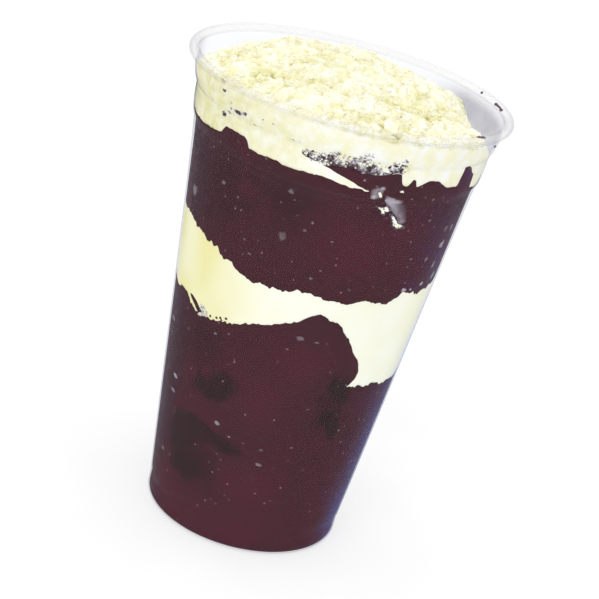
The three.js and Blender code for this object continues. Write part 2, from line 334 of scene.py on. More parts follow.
def base_line(depth):
    """The base at a depth inside the outer skin: panel, flank, ring and round corner."""
    turn = np.radians(np.linspace(0, 90, 7))
    corner = np.stack([ring_outer + (FOOT_FILLET - depth) * np.sin(turn),
                       FOOT_FILLET - (FOOT_FILLET - depth) * np.cos(turn)], -1)
    return np.concatenate([[(panel_radius + depth / 2, BASE_RECESS + depth),
                            (ring_inner + depth / 2, depth)], corner])


def side_line(depth):
    """The side at a depth inside the outer skin."""
    return SIDE - (depth, 0)


def lip_line(sheet):
    """Half an ellipse and more, from the end of the roll over its top to its inner side."""
    turn = np.radians(np.linspace(LIP_END, 180, 22))
    return np.stack([LIP_RADIUS - LIP_HALF_WIDTH + (LIP_HALF_WIDTH - sheet) * np.cos(turn),
                     CUP_HEIGHT - LIP_HALF_HEIGHT + (LIP_HALF_HEIGHT - sheet) * np.sin(turn)], -1)


def softened(line, rounds=2):
    """Cuts every corner at a quarter of its sides, and the new ones again: a soft moulded edge."""
    for _ in range(rounds):
        inner = np.stack([0.75 * line[:-1] + 0.25 * line[1:], 0.25 * line[:-1] + 0.75 * line[1:]], 1)
        line = np.concatenate([line[:1], inner.reshape(-1, 2)[1:-1], line[-1:]])
    return line


# %% Turn the cup's profile about its axis
CUP_COLUMNS = 256
inner_top = np.array([(44.3, 138.3)])
outside = softened(np.concatenate([base_line(0), side_line(0)]))
inside = softened(np.concatenate([base_line(WALL), side_line(WALL), inner_top]))
profile = np.concatenate([outside, lip_line(LIP_SHEET)[::-1], lip_line(0), inside[::-1]])
cup_angles = np.arange(CUP_COLUMNS) * 360 / CUP_COLUMNS
cup_rings = on_the_round(cup_angles[None, :], profile[:, :1], profile[:, 1:])
cup = make_piece("cup_clear", *closed_skin((0, 0, BASE_RECESS), cup_rings, (0, 0, BASE_RECESS + WALL)))
print("profile points:", len(profile))


def inner_wall(z):
    """Radius of the cup's inner face at a height."""
    line = np.concatenate([base_line(WALL)[2:], side_line(WALL), inner_top])
    return np.interp(z, line[:, 1], line[:, 0])


# %% [markdown]
# ### Clear plastic
# The sheet is thin, so what lies behind it isn't bent, only veiled: it passes nearly all light
# with a bluish cast, turns grey where it is seen edge on, and carries a faint gloss. A refracting
# glass shader would give a thick tumbler, so the sheet mixes a see-through shader with a thin
# milky one. That haze is a painted highlight on the crown of the roll and, faintly, in two lines
# under the ledge, where the ledge bends the light. It is denser and greyer inside the right wall
# near the rim. Edge on, the lower wall has a painted blue reflection, most of all at the right,
# and at the left edge under the lip a painted darker reflection greys the plastic.

# %% Clear plastic
# Spots: angle, height, and how far they reach in degrees and in mm
# Spots where the haze is denser and greyer, inside the right wall near the rim.
FILM_SPOTS = [(108, 134.5, 25, 7), (124, 136, 14, 5)]
# A painted darker reflection at the left edge, under the lip.
SMOKY_SPOTS = [(-86, 129, 22, 6)]
# A painted blue reflection where the wall is seen edge on: at the right and, weaker, at the left.
BLOOM_RIGHT, BLOOM_LEFT = (84, 22, 40, 44), (-84, 38, 26, 24)
BLOOM_LEFT_SHARE = 0.2
# Two painted highlight lines under the ledge, where it bends the light.
MOULD_LINES, MOULD_HALF_WIDTH = (117.8, 119.7), 0.35
NECK_LOW, NECK_HIGH = 131, 134.5  # edge on, the plastic is paler above these heights


def bells(points, spots):
    """Soft spots on the wall: the sum of exp(-(angle off / width)^2 - (height off / height)^2)."""
    angle, z = angle_of(points), points[..., 2]
    off = [np.exp(-((angle - a) / wide) ** 2 - ((z - h) / tall) ** 2) for a, h, wide, tall in spots]
    return np.clip(sum(off), 0, 1)


def clear_plastic():
    """See-through, greyer edge on and darker grey at the left edge, a painted darker reflection.
    Its thin milky haze is denser on the crown of the roll and in two lines under the ledge, which
    are painted highlights, in the grey film, and in the blue sheen, a painted blue reflection. It
    has a faint gloss and shallow mould waves."""
    f = Finish("clear_plastic")
    drawn = f.put("ShaderNodeMapping", Vector=f.place, Scale=(1, 1, 0.25))
    bump = f.bump(f.grain(14, detail=2, place=drawn), 0.12, 0.6)
    facing = f.put("ShaderNodeLayerWeight", Blend=0.5, Normal=bump).outputs["Facing"]
    edge_on = f.between(facing, 0.62, 1.0)
    surface = f.put("ShaderNodeNewGeometry")
    upward = f.put("ShaderNodeSeparateXYZ", Vector=surface.outputs["Normal"]).outputs["Z"]
    height = f.put("ShaderNodeSeparateXYZ", Vector=f.place).outputs["Z"]
    roll = f.number("roll")
    # Painted highlight: more white haze on the upward-facing crown of the roll.
    crown = f.times(roll, f.between(upward, 0.3, 0.95))
    neck = f.between(height, NECK_LOW * MM, NECK_HIGH * MM)
    film = f.times(f.number("film"), f.between(f.grain(4), 0.3, 0.7, 0.9, 1.08))
    bloom = f.times(f.number("bloom"), f.between(facing, 0.5, 0.9))
    haze = f.plus(0.003, f.times(edge_on, 0.02))
    for share, strength in ((roll, 0.01), (crown, 0.15), (film, 0.24), (bloom, 0.25)):
        haze = f.plus(haze, f.times(share, strength))
    # Painted highlight lines under the ledge.
    for line in MOULD_LINES:
        below, above = (f.between(height, (line + off) * MM, line * MM)
                        for off in (-MOULD_HALF_WIDTH, MOULD_HALF_WIDTH))
        haze = f.plus(haze, f.times(f.times(below, above), 0.014))
    edge_tint = f.mixed(neck, paint(228, 229, 233), paint(244, 245, 247))
    edge_tint = f.mixed(roll, edge_tint, paint(231, 230, 234))
    # Painted darker reflection: the edge-on tint turns grey at the left.
    edge_tint = f.mixed(f.number("smoky"), edge_tint, paint(160, 160, 160))
    clear_tint = f.mixed(roll, paint(251, 252, 254), paint(253, 253, 253))
    tint = f.mixed(film, f.mixed(edge_on, clear_tint, edge_tint), paint(233, 233, 237))
    through = f.put("ShaderNodeBsdfTransparent", Color=tint)
    white = f.mixed(film, paint(250, 250, 250), paint(178, 178, 184))
    # Painted blue reflection: the milky haze turns blue.
    white = f.mixed(f.between(bloom, 0, 0.2), white, paint(110, 160, 255))
    lit = f.put("ShaderNodeBsdfPrincipled", Base_Color=white, Roughness=0.3, Normal=bump)
    milky = f.layered(0.5, lit, f.put("ShaderNodeBsdfTranslucent", Color=white))
    shine = f.put("ShaderNodeBsdfGlossy", Roughness=0.12, Normal=bump)
    gloss = f.plus(0.004, f.times(0.1, f.math("POWER", facing, 10.0)))
    gloss = f.times(gloss, f.between(surface.outputs["Backfacing"], 0.0, 1.0, 1.0, 0.0))
    return f.done(f.layered(gloss, f.layered(haze, through, milky), shine))


ROLL_START, ROLL_BLEND = CUP_HEIGHT - 2 * LIP_HALF_HEIGHT - 0.3, 0.5
cup_points = stored_points(cup)
roll = np.clip((cup_points[:, 2] - ROLL_START) / ROLL_BLEND, 0, 1)  # 1 on the rolled lip, 0 below it
store(cup, roll=roll, film=bells(cup_points, FILM_SPOTS) * (1 - roll),
      smoky=bells(cup_points, SMOKY_SPOTS) * (1 - roll),
      bloom=bells(cup_points, [BLOOM_RIGHT]) + BLOOM_LEFT_SHARE * bells(cup_points, [BLOOM_LEFT]))
finish_piece(cup, clear_plastic(), "clear_plastic", "cup")

# %% [markdown]
# ## What fills the cup
# Seen through the wall, each layer is its outline on the wall. So each outline is a height that
# runs round the cup: a smooth curve through measured places, plus the small scallops that thick
# food leaves on plastic. The layers are closed skins that run through the cup, and they reach
# just into the wall, so that no air shows between food and plastic. The acai reaches a hair
# further out than its pale neighbours, and so its edge is the one that is seen.

# %% Heights that run round the cup
def round_the_cup(pairs, degrees):
    """Height at each angle: cubics through the pairs, closed round the cup. The slope at a pair is
    the harmonic mean of its neighbours' rises, or 0 where they change sign, so nothing overshoots."""
    given = np.array(list(pairs) + [(pairs[0][0] + 360, pairs[0][1])], float)
    rise = np.diff(given[:, 1]) / np.diff(given[:, 0])
    product = rise * np.roll(rise, 1)
    both = np.where(product > 0, rise + np.roll(rise, 1), 1)
    slope = np.where(product > 0, 2 * product / both, 0)
    slope = np.append(slope, slope[0])
    angle = given[0, 0] + (np.asarray(degrees, float) - given[0, 0]) % 360
    i = np.clip(np.searchsorted(given[:, 0], angle, side="right") - 1, 0, len(rise) - 1)
    span = given[i + 1, 0] - given[i, 0]
    t = (angle - given[i, 0]) / span
    ease = t * t * (3 - 2 * t)
    height = given[i, 1] * (1 - ease) + given[i + 1, 1] * ease
    return height + t * (1 - t) ** 2 * span * slope[i] - t * t * (1 - t) * span * slope[i + 1]


LOWER_ACAI_TOP = [
    (-165, 73), (-120, 69), (-82, 71.7), (-73, 71.2), (-65, 71.9), (-57.5, 72.6), (-54.6, 71.1),
    (-50.4, 69.9), (-45.2, 69.1), (-39, 69.7), (-33.3, 70.5), (-29.4, 71), (-24, 72.1), (-18.5, 73.8),
    (-14, 74.6), (-6, 76.8), (0, 78.6), (5, 80.3), (8, 81.8), (13, 82.5), (20, 81.1), (25, 78.3),
    (30, 75.3), (33, 71.8), (34.6, 66), (35.6, 60.6), (37, 60), (50, 60.2), (60, 59), (70, 58.9),
    (80, 58.6), (120, 64), (155, 71)]
CREAM_TOP = [
    (-160, 91), (-115, 94.5), (-80, 94.6), (-65, 94.6), (-56.3, 93.4), (-51, 92.9), (-47.4, 91.9),
    (-43, 91.8), (-40.6, 91.5), (-35.4, 89.4), (-33.5, 89.9), (-32, 89.8), (-29.4, 88.4), (-25.1, 87.5),
    (-19.1, 86.7), (-15.6, 87.2), (-9.5, 87.3), (-6.4, 87), (-3.4, 87.9), (0, 88.3), (10, 87.8),
    (20, 87), (30, 88.8), (40, 88), (45, 89.3), (50, 91), (55, 90.8), (62, 89.8), (70, 90.3),
    (120, 94), (160, 90)]
UPPER_ACAI_TOP = [
    (-150, 125.5), (-105, 123.8), (-70, 123.1), (-50, 123.8), (-47, 124.3), (-45, 126.6), (-40, 126.8),
    (-34, 126.3), (-32, 124), (-20, 123.7), (-14, 123.2), (-8, 123.6), (-4.6, 123.8), (-2.8, 126.9),
    (-0.7, 127.3), (2.8, 127.8), (6.3, 128.2), (9.6, 127.7), (12.3, 127.1), (16, 127.3), (19.6, 127.8),
    (22.1, 128.1), (24.6, 128.7), (26.6, 128.4), (27.2, 127.1), (28.2, 125.7), (30.2, 125.2),
    (31.3, 126.4), (32.3, 127.4), (33.4, 127.2), (34.7, 125.4), (36.4, 126.3), (39.5, 127.2),
    (44.2, 127.2), (47, 126.2), (51, 125), (55.4, 125), (56.4, 127.8), (57.7, 130.4), (60.4, 130.6),
    (64, 129), (66.3, 127.4), (67, 123.6), (69.6, 123.1), (74, 122.6), (82, 123.4), (120, 125.6)]
HEAP_AT_WALL = [
    (-160, 137.2), (-141, 134), (-121, 131), (-98, 132.2), (-80, 136), (-66, 138.3), (-50, 139.4),
    (40, 139.4), (54, 138.3), (66, 135.6), (80, 131.4), (108, 129), (118, 129.8), (126, 132.6),
    (134, 136), (160, 136.8)]
LOWER_ACAI_MIDDLE, CREAM_MIDDLE, UPPER_ACAI_MIDDLE = 71.0, 89.5, 126.0


def scalloped(pairs, degrees, seed, coarse=0.5, fine=0.45):
    """An outline with the ragged edge of thick food: waves of 2 mm and 0.8 mm on a measured one,
    whose steep parts are made ragged by up to 0.6 degrees along the wall."""
    round_place = on_the_round(degrees, NOISE_RADIUS, 0.0)[..., :2]
    aside = 0.6 * cloudy(round_place, 1.6, seed + 2)
    return (round_the_cup(pairs, degrees + aside) + coarse * cloudy(round_place, 2.0, seed)
            + fine * cloudy(round_place, 0.8, seed + 1))


def top_of_the_acai(degrees):
    """The upper acai's top edge, which is smoother than the others."""
    return scalloped(UPPER_ACAI_TOP, degrees, 31, coarse=0.25, fine=0.22)


# %% Layers that run through the cup
LAYER_COLUMNS = 960
layer_angles = np.arange(LAYER_COLUMNS) * 360 / LAYER_COLUMNS - 180
ACAI_REACH, PALE_REACH = 0.2, 0.12  # into the wall
BURIED_FLATTENING = 1.6
TUCK = 0.5  # a pale layer goes on behind the acai's edge by this much


def buried(edge, middle, reach, rings=10):
    """Rings from the axis out to the wall: from the middle's height to the edge's, by share**1.6."""
    share = np.linspace(0, 1, rings + 1)[1:, None]
    z = middle + (edge[None, :] - middle) * share ** BURIED_FLATTENING
    radius = share * (inner_wall(edge) + reach)[None, :]
    return on_the_round(layer_angles[None, :], radius, z)


def up_the_wall(low, high, reach, rows):
    """Rings on the wall between two outlines, evenly spaced at each angle."""
    share = np.linspace(0, 1, rows)[:, None]
    z = low[None, :] * (1 - share) + high[None, :] * share
    return on_the_round(layer_angles[None, :], inner_wall(z) + reach, z)


def base_rings(reach):
    """Rings of the lowest layer over the base of the cup, just into its skin."""
    line = base_line(WALL - reach)
    line = np.concatenate([[(line[0, 0] / 2, line[0, 1])], line])
    return on_the_round(layer_angles[None, :], line[:, :1], line[:, 1:])


def layer(name, low, low_middle, high, high_middle, reach, rows, low_rings=None):
    """A closed skin from the low middle out, up the wall between two edges and in to the high
    middle. Its underside may be given as rings of its own."""
    low_rings = buried(low, low_middle, reach) if low_rings is None else low_rings
    rings = np.concatenate([low_rings, up_the_wall(low, high, reach, rows)[1:-1],
                            buried(high, high_middle, reach)[::-1]])
    return make_piece(name, *closed_skin((0, 0, low_middle), rings, (0, 0, high_middle)))


lower_edge = scalloped(LOWER_ACAI_TOP, layer_angles, 11)
cream_edge = scalloped(CREAM_TOP, layer_angles, 21)
upper_edge = top_of_the_acai(layer_angles)
base = base_rings(ACAI_REACH)
acai_lower = layer("acai_below", np.full(LAYER_COLUMNS, base[-1, 0, 2]),
                   BASE_RECESS + WALL - ACAI_REACH, lower_edge, LOWER_ACAI_MIDDLE, ACAI_REACH, 60,
                   low_rings=base)
cream = layer("cream_band", lower_edge - TUCK, LOWER_ACAI_MIDDLE - TUCK, cream_edge + TUCK,
              CREAM_MIDDLE + TUCK, PALE_REACH, 30)
acai_upper = layer("acai_above", cream_edge, CREAM_MIDDLE, upper_edge, UPPER_ACAI_MIDDLE, ACAI_REACH,
                   40)

# %% [markdown]
# ### Pads on the wall
# Some food shows on the wall with an outline that a single height can't give: the bulge of acai
# that hangs over the cream, the tongue of acai in the powder, bubbles, flecks and smears. Each is
# a pad, a shallow lens that follows the wall. Its outline is a closed line of angles and heights
# round a middle, its front lies just further into the wall than the layer, and its back bellies
# inwards. Many small pads are joined into one mesh.

# %% Pads that follow the wall
PAD_REACH = 0.28
PAD_EASE = 0.2  # mm that a pad's front draws back at its outline
DEGREE = 0.7  # mm along the wall for one degree, near enough


def run_along(line):
    """How far along the wall each point of a line of (angle, height) lies from its first, in mm."""
    step = np.hypot(np.diff(line[:, 0]) * DEGREE, np.diff(line[:, 1]))
    return np.concatenate([[0], np.cumsum(step)])


def closed_outline(corners, count, seed, ragged=0.0):
    """A smooth closed line through corners (angle, height), evenly run through, with ragged waves
    of 1.1 mm across it."""
    corners = np.array(list(corners) + [corners[0]], float)
    at = run_along(corners)
    wrapped = np.concatenate([corners[-3:-1], corners, corners[1:3]])
    knots = np.concatenate([at[-3:-1] - at[-1], at, at[1:3] + at[-1]])
    t = np.arange(count) / count * at[-1]
    i = np.clip(np.searchsorted(knots, t, side="right") - 1, 1, len(knots) - 3)
    width = knots[i + 1] - knots[i]
    s = ((t - knots[i]) / width)[:, None]
    before, after = ((wrapped[i + n + 1] - wrapped[i + n - 1])
                     / (knots[i + n + 1] - knots[i + n - 1])[:, None] * width[:, None] for n in (0, 1))
    line = ((2 * s ** 3 - 3 * s ** 2 + 1) * wrapped[i] + (s ** 3 - 2 * s ** 2 + s) * before
            + (3 * s ** 2 - 2 * s ** 3) * wrapped[i + 1] + (s ** 3 - s ** 2) * after)
    wave = cloudy(on_the_round(line[:, 0], NOISE_RADIUS, line[:, 1]), 1.1, seed)
    away = line - line.mean(0)
    length = np.hypot(away[:, 0] * DEGREE, away[:, 1])[:, None]
    return line + ragged * wave[:, None] * away / length


def pad_points(outline, belly=1.2, rings=8, reach=PAD_REACH):
    """Front and back rings of one pad. Front: share s of the way from the middle to the outline, at
    reach, drawn back by 0.2 s**8. Back: the same places, deeper by belly sqrt(1 - s**2)."""
    centre = outline.mean(0)
    share = np.linspace(0, 1, rings + 1)[1:, None]
    place = centre + share[..., None] * (outline - centre)
    angle, z = place[..., 0], place[..., 1]
    front = inner_wall(z) + reach - PAD_EASE * share ** 8
    back = inner_wall(z) + reach - PAD_EASE - belly * np.sqrt(np.clip(1 - share ** 2, 0, None))
    rings_out = np.concatenate([on_the_round(angle, front, z), on_the_round(angle, back, z)[-2::-1]])
    radius = inner_wall(centre[1]) + reach
    start, end = (on_the_round(centre[0], r, centre[1]) for r in (radius, radius - PAD_EASE - belly))
    shares = np.broadcast_to(np.concatenate([share, share[-2::-1]]), rings_out.shape[:2])
    return start, rings_out, end, np.concatenate([[0], shares.ravel(), [0]])


def join_skins(skins):
    """Several closed skins as one set of points, quads and triangles."""
    points, quads, triangles, first = [], [], [], 0
    for start, rings, end in skins:
        made = closed_skin(start, rings[:, ::-1], end)
        points.append(made[0])
        quads.append(made[1] + first)
        triangles.append(made[2] + first)
        first += len(made[0])
    return np.concatenate(points), np.concatenate(quads), np.concatenate(triangles)


def make_pads(name, outlines, **how):
    """One piece of many pads. Each point keeps how near it is to its pad's middle, from 0 to 1."""
    made = [pad_points(outline, **how) for outline in outlines]
    piece = make_piece(name, *join_skins([m[:3] for m in made]))
    store(piece, middle=1 - np.concatenate([m[3] for m in made]))
    return piece


acai_bulge = make_pads("acai_bulge", [closed_outline(
    [(22, 70), (26, 76.6), (30, 75.3), (34, 71.6), (38, 68.8), (40, 66.3), (40.6, 64.8), (40.2, 62.8),
     (38.4, 61.1), (36.2, 60.0), (33, 59.5), (26, 59), (22, 64)], 220, 41, ragged=0.18)], rings=14)


# %% Long pads between two lines
def strip_points(low, high, columns=120, rows=10, belly=0.8, reach=PAD_REACH, seed=1, ragged=0.3):
    """A long pad: at each angle it runs from the low line to the high one. The share across, from
    -1 to 1, gives its front at reach, eased back by 0.2 s**8, and its back by the root of 1 - s**2."""
    angle = np.linspace(low[0][0], low[-1][0], columns)
    round_place = on_the_round(angle, NOISE_RADIUS, 0.0)[:, :2]
    bottom, top = (along(line, angle) + ragged * cloudy(round_place, 1.3, seed + salt)
                   for line, salt in ((low, 0), (high, 1)))
    top = np.maximum(top, bottom + 0.05)
    across = np.sin(np.linspace(-90, 90, rows) * np.pi / 180)[:, None]
    z = (bottom + top) / 2 + across * (top - bottom) / 2
    ends = np.sin(np.linspace(0, np.pi, columns)) ** 0.4
    front = inner_wall(z) + reach - PAD_EASE * across ** 8 - PAD_EASE * (1 - ends)
    back = inner_wall(z) + reach - PAD_EASE - belly * ends * np.sqrt(np.clip(1 - across ** 2, 0, None))
    rings = np.concatenate([on_the_round(angle[None, :], front, z),
                            on_the_round(angle[None, :], back, z)[-2:0:-1]])
    rings = rings.transpose(1, 0, 2)
    return rings[0].mean(0), rings[:, ::-1], rings[-1].mean(0)


def make_strip(name, low, high, **how):
    """One piece of one long pad."""
    return make_piece(name, *join_skins([strip_points(low, high, **how)]))


powder_wedge = make_strip(
    "powder_wedge",
    [(-12, 123.5), (-5.8, 123.6), (0.5, 123.3), (4.3, 123.0), (7.6, 122.6), (11.9, 122.4), (17, 122.2)],
    [(-12, 127.3), (-6, 127.5), (-2.6, 127), (0.6, 126.3), (2.8, 125.7), (5.1, 125.2), (7.4, 124.8),
     (9.7, 124.2), (11.6, 123.4), (13.8, 123.1), (17, 122.6)], seed=45, ragged=0.4)

# %% [markdown]
# ### Crumbs and gaps on the wall
# Above the tongue of acai the powder doesn't lie tight on the plastic. Acai has crept between
# the crumbs there, so the wall shows dark and grey violet gaps of 0.3 to 1 mm with pale crumbs
# between them. Loose pads alone would look strewn, so the band is one thin strip, whose points
# hold how wet it is, and its finish breaks that up by noise. The larger gaps and crumbs are
# pads in front of it, scattered between the two lines by a seeded stream. A few dark and grey
# marks lie further left.

# %% Crumbs and gaps on the wall
def blot(angle, z, wide, tall, seed, count=40, rough=0.3):
    """A ragged round outline: radii of an ellipse in mm, changed by noise round it."""
    turn = np.arange(count) / count * 2 * np.pi
    ring = np.stack([np.cos(turn), np.sin(turn)], -1)
    size = 1 + rough * cloudy(ring * 1.1 + seed * 7.3, 0.8, seed)
    return np.stack([angle + np.degrees(size * wide * ring[:, 0] / inner_wall(z)),
                     z + size * tall * ring[:, 1]], -1)


BAND_LOW = [(-11.8, 128.8), (-10.6, 127.7), (-7.6, 127.0), (-3.9, 126.9), (-0.7, 127.0), (2.8, 127.5),
            (6.3, 127.9), (9.6, 127.4), (12.3, 126.8), (16, 127), (19.6, 127.5), (22.1, 127.8),
            (24.5, 128.3), (27.2, 128.3), (29, 129.6)]
BAND_HIGH = [(-11.8, 129.8), (-9.3, 130.6), (-6.1, 130.4), (-2.5, 131), (0.9, 131.9), (4.4, 132.2),
             (7.9, 132.4), (11.1, 133.6), (13.5, 133.5), (15.6, 131.6), (20.9, 131.2), (22.3, 133.1),
             (25.7, 134), (29, 132)]
BAND_WET = [(-11.8, 0.45), (-11, 0.66), (-8, 0.66), (-4, 0.6), (0, 0.6), (6, 0.52), (12, 0.55),
            (16, 0.57), (18.5, 0.44), (20.5, 0.42), (22, 0.55), (27, 0.58), (29, 0.3)]
crumb_band = make_strip("crumb_band", BAND_LOW, BAND_HIGH, columns=320, rows=16, belly=0.3, reach=0.26,
                        seed=47, ragged=0.25)


def band_wetness(points):
    """How wet the band is: its value along the wall, 1.3 of it at the low line and half of it at
    the high one, in clouds of 1.8 mm. Left of the tongue its lower edge frays too."""
    angle = angle_of(points)
    low, high, wet = (along(line, angle) for line in (BAND_LOW, BAND_HIGH, BAND_WET))
    share = np.clip((points[..., 2] - low) / (high - low), 0, 1)
    frayed = np.where(angle < 0, np.clip(share / 0.25, 0.5, 1), 1)
    return frayed * wet * (1.3 - 0.78 * share ** 0.7) + 0.12 * cloudy(points, 1.8, 48)


def band_blots(count, sizes, seed, rough, above=0.0):
    """Blots at random places between the two lines of the band, mostly near its lower one."""
    random = np.random.default_rng(seed)
    angle = random.uniform(-11, 28, count)
    low, high = (along(line, angle) for line in (BAND_LOW, BAND_HIGH))
    z = low + 0.1 + above + 0.8 * (high - low) * random.random(count) ** 1.3
    size = random.uniform(*sizes, count)
    stretch = random.uniform(0.7, 1.5, count)
    return [blot(a, b, c * d, c, seed + n, count=16, rough=rough)
            for n, (a, b, c, d) in enumerate(zip(angle, z, size, stretch))]


dark_gaps = make_pads("dark_gaps", band_blots(60, (0.15, 0.4), 500, 0.6)
                      + [blot(79.3, 134.4, 0.9, 0.35, 17, count=16)], belly=0.3, rings=3, reach=0.32)
wall_crumbs = make_pads("wall_crumbs", band_blots(60, (0.15, 0.42), 900, 0.5, above=0.8), belly=0.3,
                        rings=3, reach=0.38)
WET_MARKS = [  # angle, height, half width, half height in mm, how dark
    (-47.4, 136.2, 2.0, 1.2, 0.7), (-47.4, 129.4, 2.3, 1.4, 0.72), (-44.8, 130.7, 1.5, 1.2, 0.6),
    (-42.8, 132.2, 1.3, 1.6, 0.45), (-43.2, 134.3, 1.6, 1.2, 0.42), (-39.2, 132.2, 2.8, 1.6, 0.72),
    (-35.6, 132.9, 2.4, 1.2, 0.58), (-27.5, 133.8, 1.8, 0.8, 0.45), (-23, 133.7, 1.8, 0.7, 0.42),
    (-15, 131.2, 1.6, 0.8, 0.42), (-31, 131, 1.8, 0.9, 0.4)]
wet_marks = make_pads("wet_marks", [blot(*mark[:4], 11 + n, rough=0.4)
                                    for n, mark in enumerate(WET_MARKS)], belly=0.3, rings=6,
                      reach=0.26)

# %% [markdown]
# ### Air pocket, bubbles and flecks
# Under the tongue an air pocket has dried on the wall: a grey film in sloping streaks with a
# painted highlight streak, a bubble at its top with painted highlights in it, a dark hole, and
# crumbs of powder along its lower side, whose wet edges fray into the acai. Elsewhere the acai
# shows pale flecks, partly painted highlights at the right, and at the left the cream has a dark
# void with a white film.

# %% Air pocket, bubbles and flecks
air_film = make_pads("air_film", [closed_outline(
    [(22.1, 122.5), (23.8, 122.5), (26.1, 122), (28.8, 121.5), (30.7, 120.8), (33.8, 119.9),
     (36, 118.6), (37.2, 116.9), (38, 114.9), (37.8, 113.3), (35.7, 112.7), (33.2, 113.1),
     (31.4, 114.6), (29.5, 115.8), (27.6, 116.8), (25.2, 118.4), (23.3, 119.8)], 200, 61, ragged=0.3)],
                     rings=16, reach=0.26)
bubble = make_pads("air_bubble", [closed_outline(
    [(16.5, 121.6), (16.4, 123.2), (17.6, 124.2), (19.3, 124.7), (21.2, 124.7), (22.5, 123.8),
     (22.3, 122.6), (22.2, 121.4), (21.4, 120.3), (19.9, 119.7), (17.9, 120.1)], 80, 63, ragged=0.15)],
                   rings=12, reach=0.3)
# Painted highlights on the air film and in its bubble.
film_gleams = make_pads("film_gleams", [
    blot(18.6, 121, 1.1, 1.0, 73, rough=0.3), blot(20.9, 123.9, 1.0, 0.6, 74, rough=0.3),
    closed_outline([(23.6, 120.5), (25.4, 121.4), (28, 121), (30.6, 121.1), (32.4, 120.3), (31, 119.4),
                    (27.7, 119.2), (25.2, 119)], 40, 75, ragged=0.25),
    blot(33.8, 114.4, 1.4, 1.2, 76, rough=0.4)], rings=8, reach=0.34)
pocket_gaps = make_pads("pocket_gaps", [
    closed_outline([(21, 118.7), (21.9, 119.5), (23.6, 119.4), (24, 118.5), (22.8, 117.9),
                    (21.5, 118)], 50, 64, ragged=0.15),
    closed_outline([(27, 115.2), (28.3, 115.4), (29.7, 113.8), (29.4, 112.9), (28.2, 113.6)], 50, 66,
                   ragged=0.2)], reach=0.36, rings=5)
pocket_crumbs = make_pads("pocket_crumbs", [
    closed_outline([(19.2, 123.1), (20.2, 123.2), (21.9, 121.8), (22.2, 120.8), (21.2, 120.6),
                    (20, 121.6)], 50, 72, ragged=0.15),
    closed_outline([(21.2, 118.2), (22.8, 118.2), (24.1, 118.4), (25.6, 118.9), (27.3, 118.2),
                    (27.5, 117.1), (26.1, 116.4), (25.5, 115.6), (24.2, 115.9), (22.6, 117)], 90, 67,
                   ragged=0.35),
    closed_outline([(27.6, 116.5), (28.9, 116.6), (30.2, 115.6), (31.9, 114.5), (32.8, 113.5),
                    (34, 113), (36.6, 112.9), (36.4, 112.1), (34.2, 111.6), (32.3, 111.7),
                    (30.4, 112.5), (29.3, 113.8), (28.3, 115.1)], 110, 68, ragged=0.3),
    blot(28.8, 123.7, 0.7, 0.45, 70)], reach=0.4, rings=10)


def along_blots(path, count, sizes, seed, spread):
    """Small blots strewn along a line of (angle, height), off it by a normal spread in mm."""
    random = np.random.default_rng(seed)
    path = np.array(path, float)
    run = run_along(path)
    at = random.random(count) * run[-1]
    angle = np.interp(at, run, path[:, 0]) + random.normal(0, spread, count) / DEGREE
    z = np.interp(at, run, path[:, 1]) + random.normal(0, spread, count)
    size = random.uniform(*sizes, count)
    return [blot(a, b, 1.2 * c, c, seed + n, count=18, rough=0.45)
            for n, (a, b, c) in enumerate(zip(angle, z, size))]


POCKET_SIDE = [(21.6, 117.7), (24.6, 117.2), (27, 117), (28, 115.6), (29.8, 114), (32.8, 112.7),
               (36.4, 112.5)]
pocket_specks = make_pads("pocket_specks", along_blots(POCKET_SIDE, 26, (0.12, 0.3), 640, 0.45),
                          reach=0.46, rings=3, belly=0.3)

# Pale flecks; those near 70 degrees, from 93 to 110 mm high, are partly painted highlights.
FLECKS = [  # angle, height, half width, half height in mm, how pale
    (-63.9, 102.1, 1.9, 2.0, 0.5), (-42.6, 110.7, 1.1, 0.8, 0.4), (-11.8, 116.5, 1.1, 1.1, 0.4),
    (-11.2, 103.2, 1.3, 1.8, 0.3), (-0.9, 109.6, 0.5, 0.6, 0.45), (-3.1, 106.8, 0.6, 0.5, 0.4),
    (8.4, 105.4, 0.6, 0.4, 0.35), (42.6, 107.8, 0.6, 0.5, 0.4), (46.4, 102.2, 0.6, 0.5, 0.4),
    (45.9, 99.7, 0.5, 0.4, 0.35), (57.3, 101.3, 1.1, 0.9, 0.45), (63.8, 110.4, 1.4, 1.1, 0.4),
    (66.6, 105, 1.8, 1.6, 0.9), (71.1, 94.2, 1.8, 1.8, 0.8), (49.1, 92, 1.4, 0.8, 1.3),
    (61.5, 92.8, 1.2, 0.9, 1.1), (66, 98.5, 1.2, 1.4, 0.6), (54, 91.8, 0.9, 0.6, 1.0),
    (70, 110, 1.4, 1.6, 0.5), (48.9, 114.4, 0.8, 0.6, 0.3), (45.1, 121.4, 0.6, 0.6, 0.45),
    (13.4, 125.4, 0.5, 0.6, 0.5),
    (4.2, 93.2, 0.7, 0.5, 0.4), (7.1, 96.2, 0.5, 0.4, 0.35), (21.4, 91.8, 0.6, 0.4, 0.35),
    (-23.6, 94.5, 0.8, 0.4, 0.35), (-27, 98, 0.5, 0.5, 0.3), (7, 74.3, 1.5, 0.9, 0.45),
    (14.5, 74, 0.8, 0.5, 0.4), (26.5, 71.5, 0.7, 0.5, 0.4), (-33, 66.5, 0.8, 0.5, 0.5),
    (-71, 60.2, 2.3, 0.9, 0.6), (-57, 45.3, 1.8, 0.7, 1.0), (-57, 40.5, 1.7, 0.8, 0.6),
    (-22, 39.8, 1.2, 0.8, 0.8), (-14.5, 37, 0.7, 0.4, 0.5), (3, 36, 0.9, 0.5, 0.3),
    (4, 31, 1.2, 0.7, 0.55), (-60, 20, 1.0, 0.6, 0.5), (41.5, 45, 0.7, 0.4, 0.4),
    (20, 52, 0.6, 0.4, 0.3)]
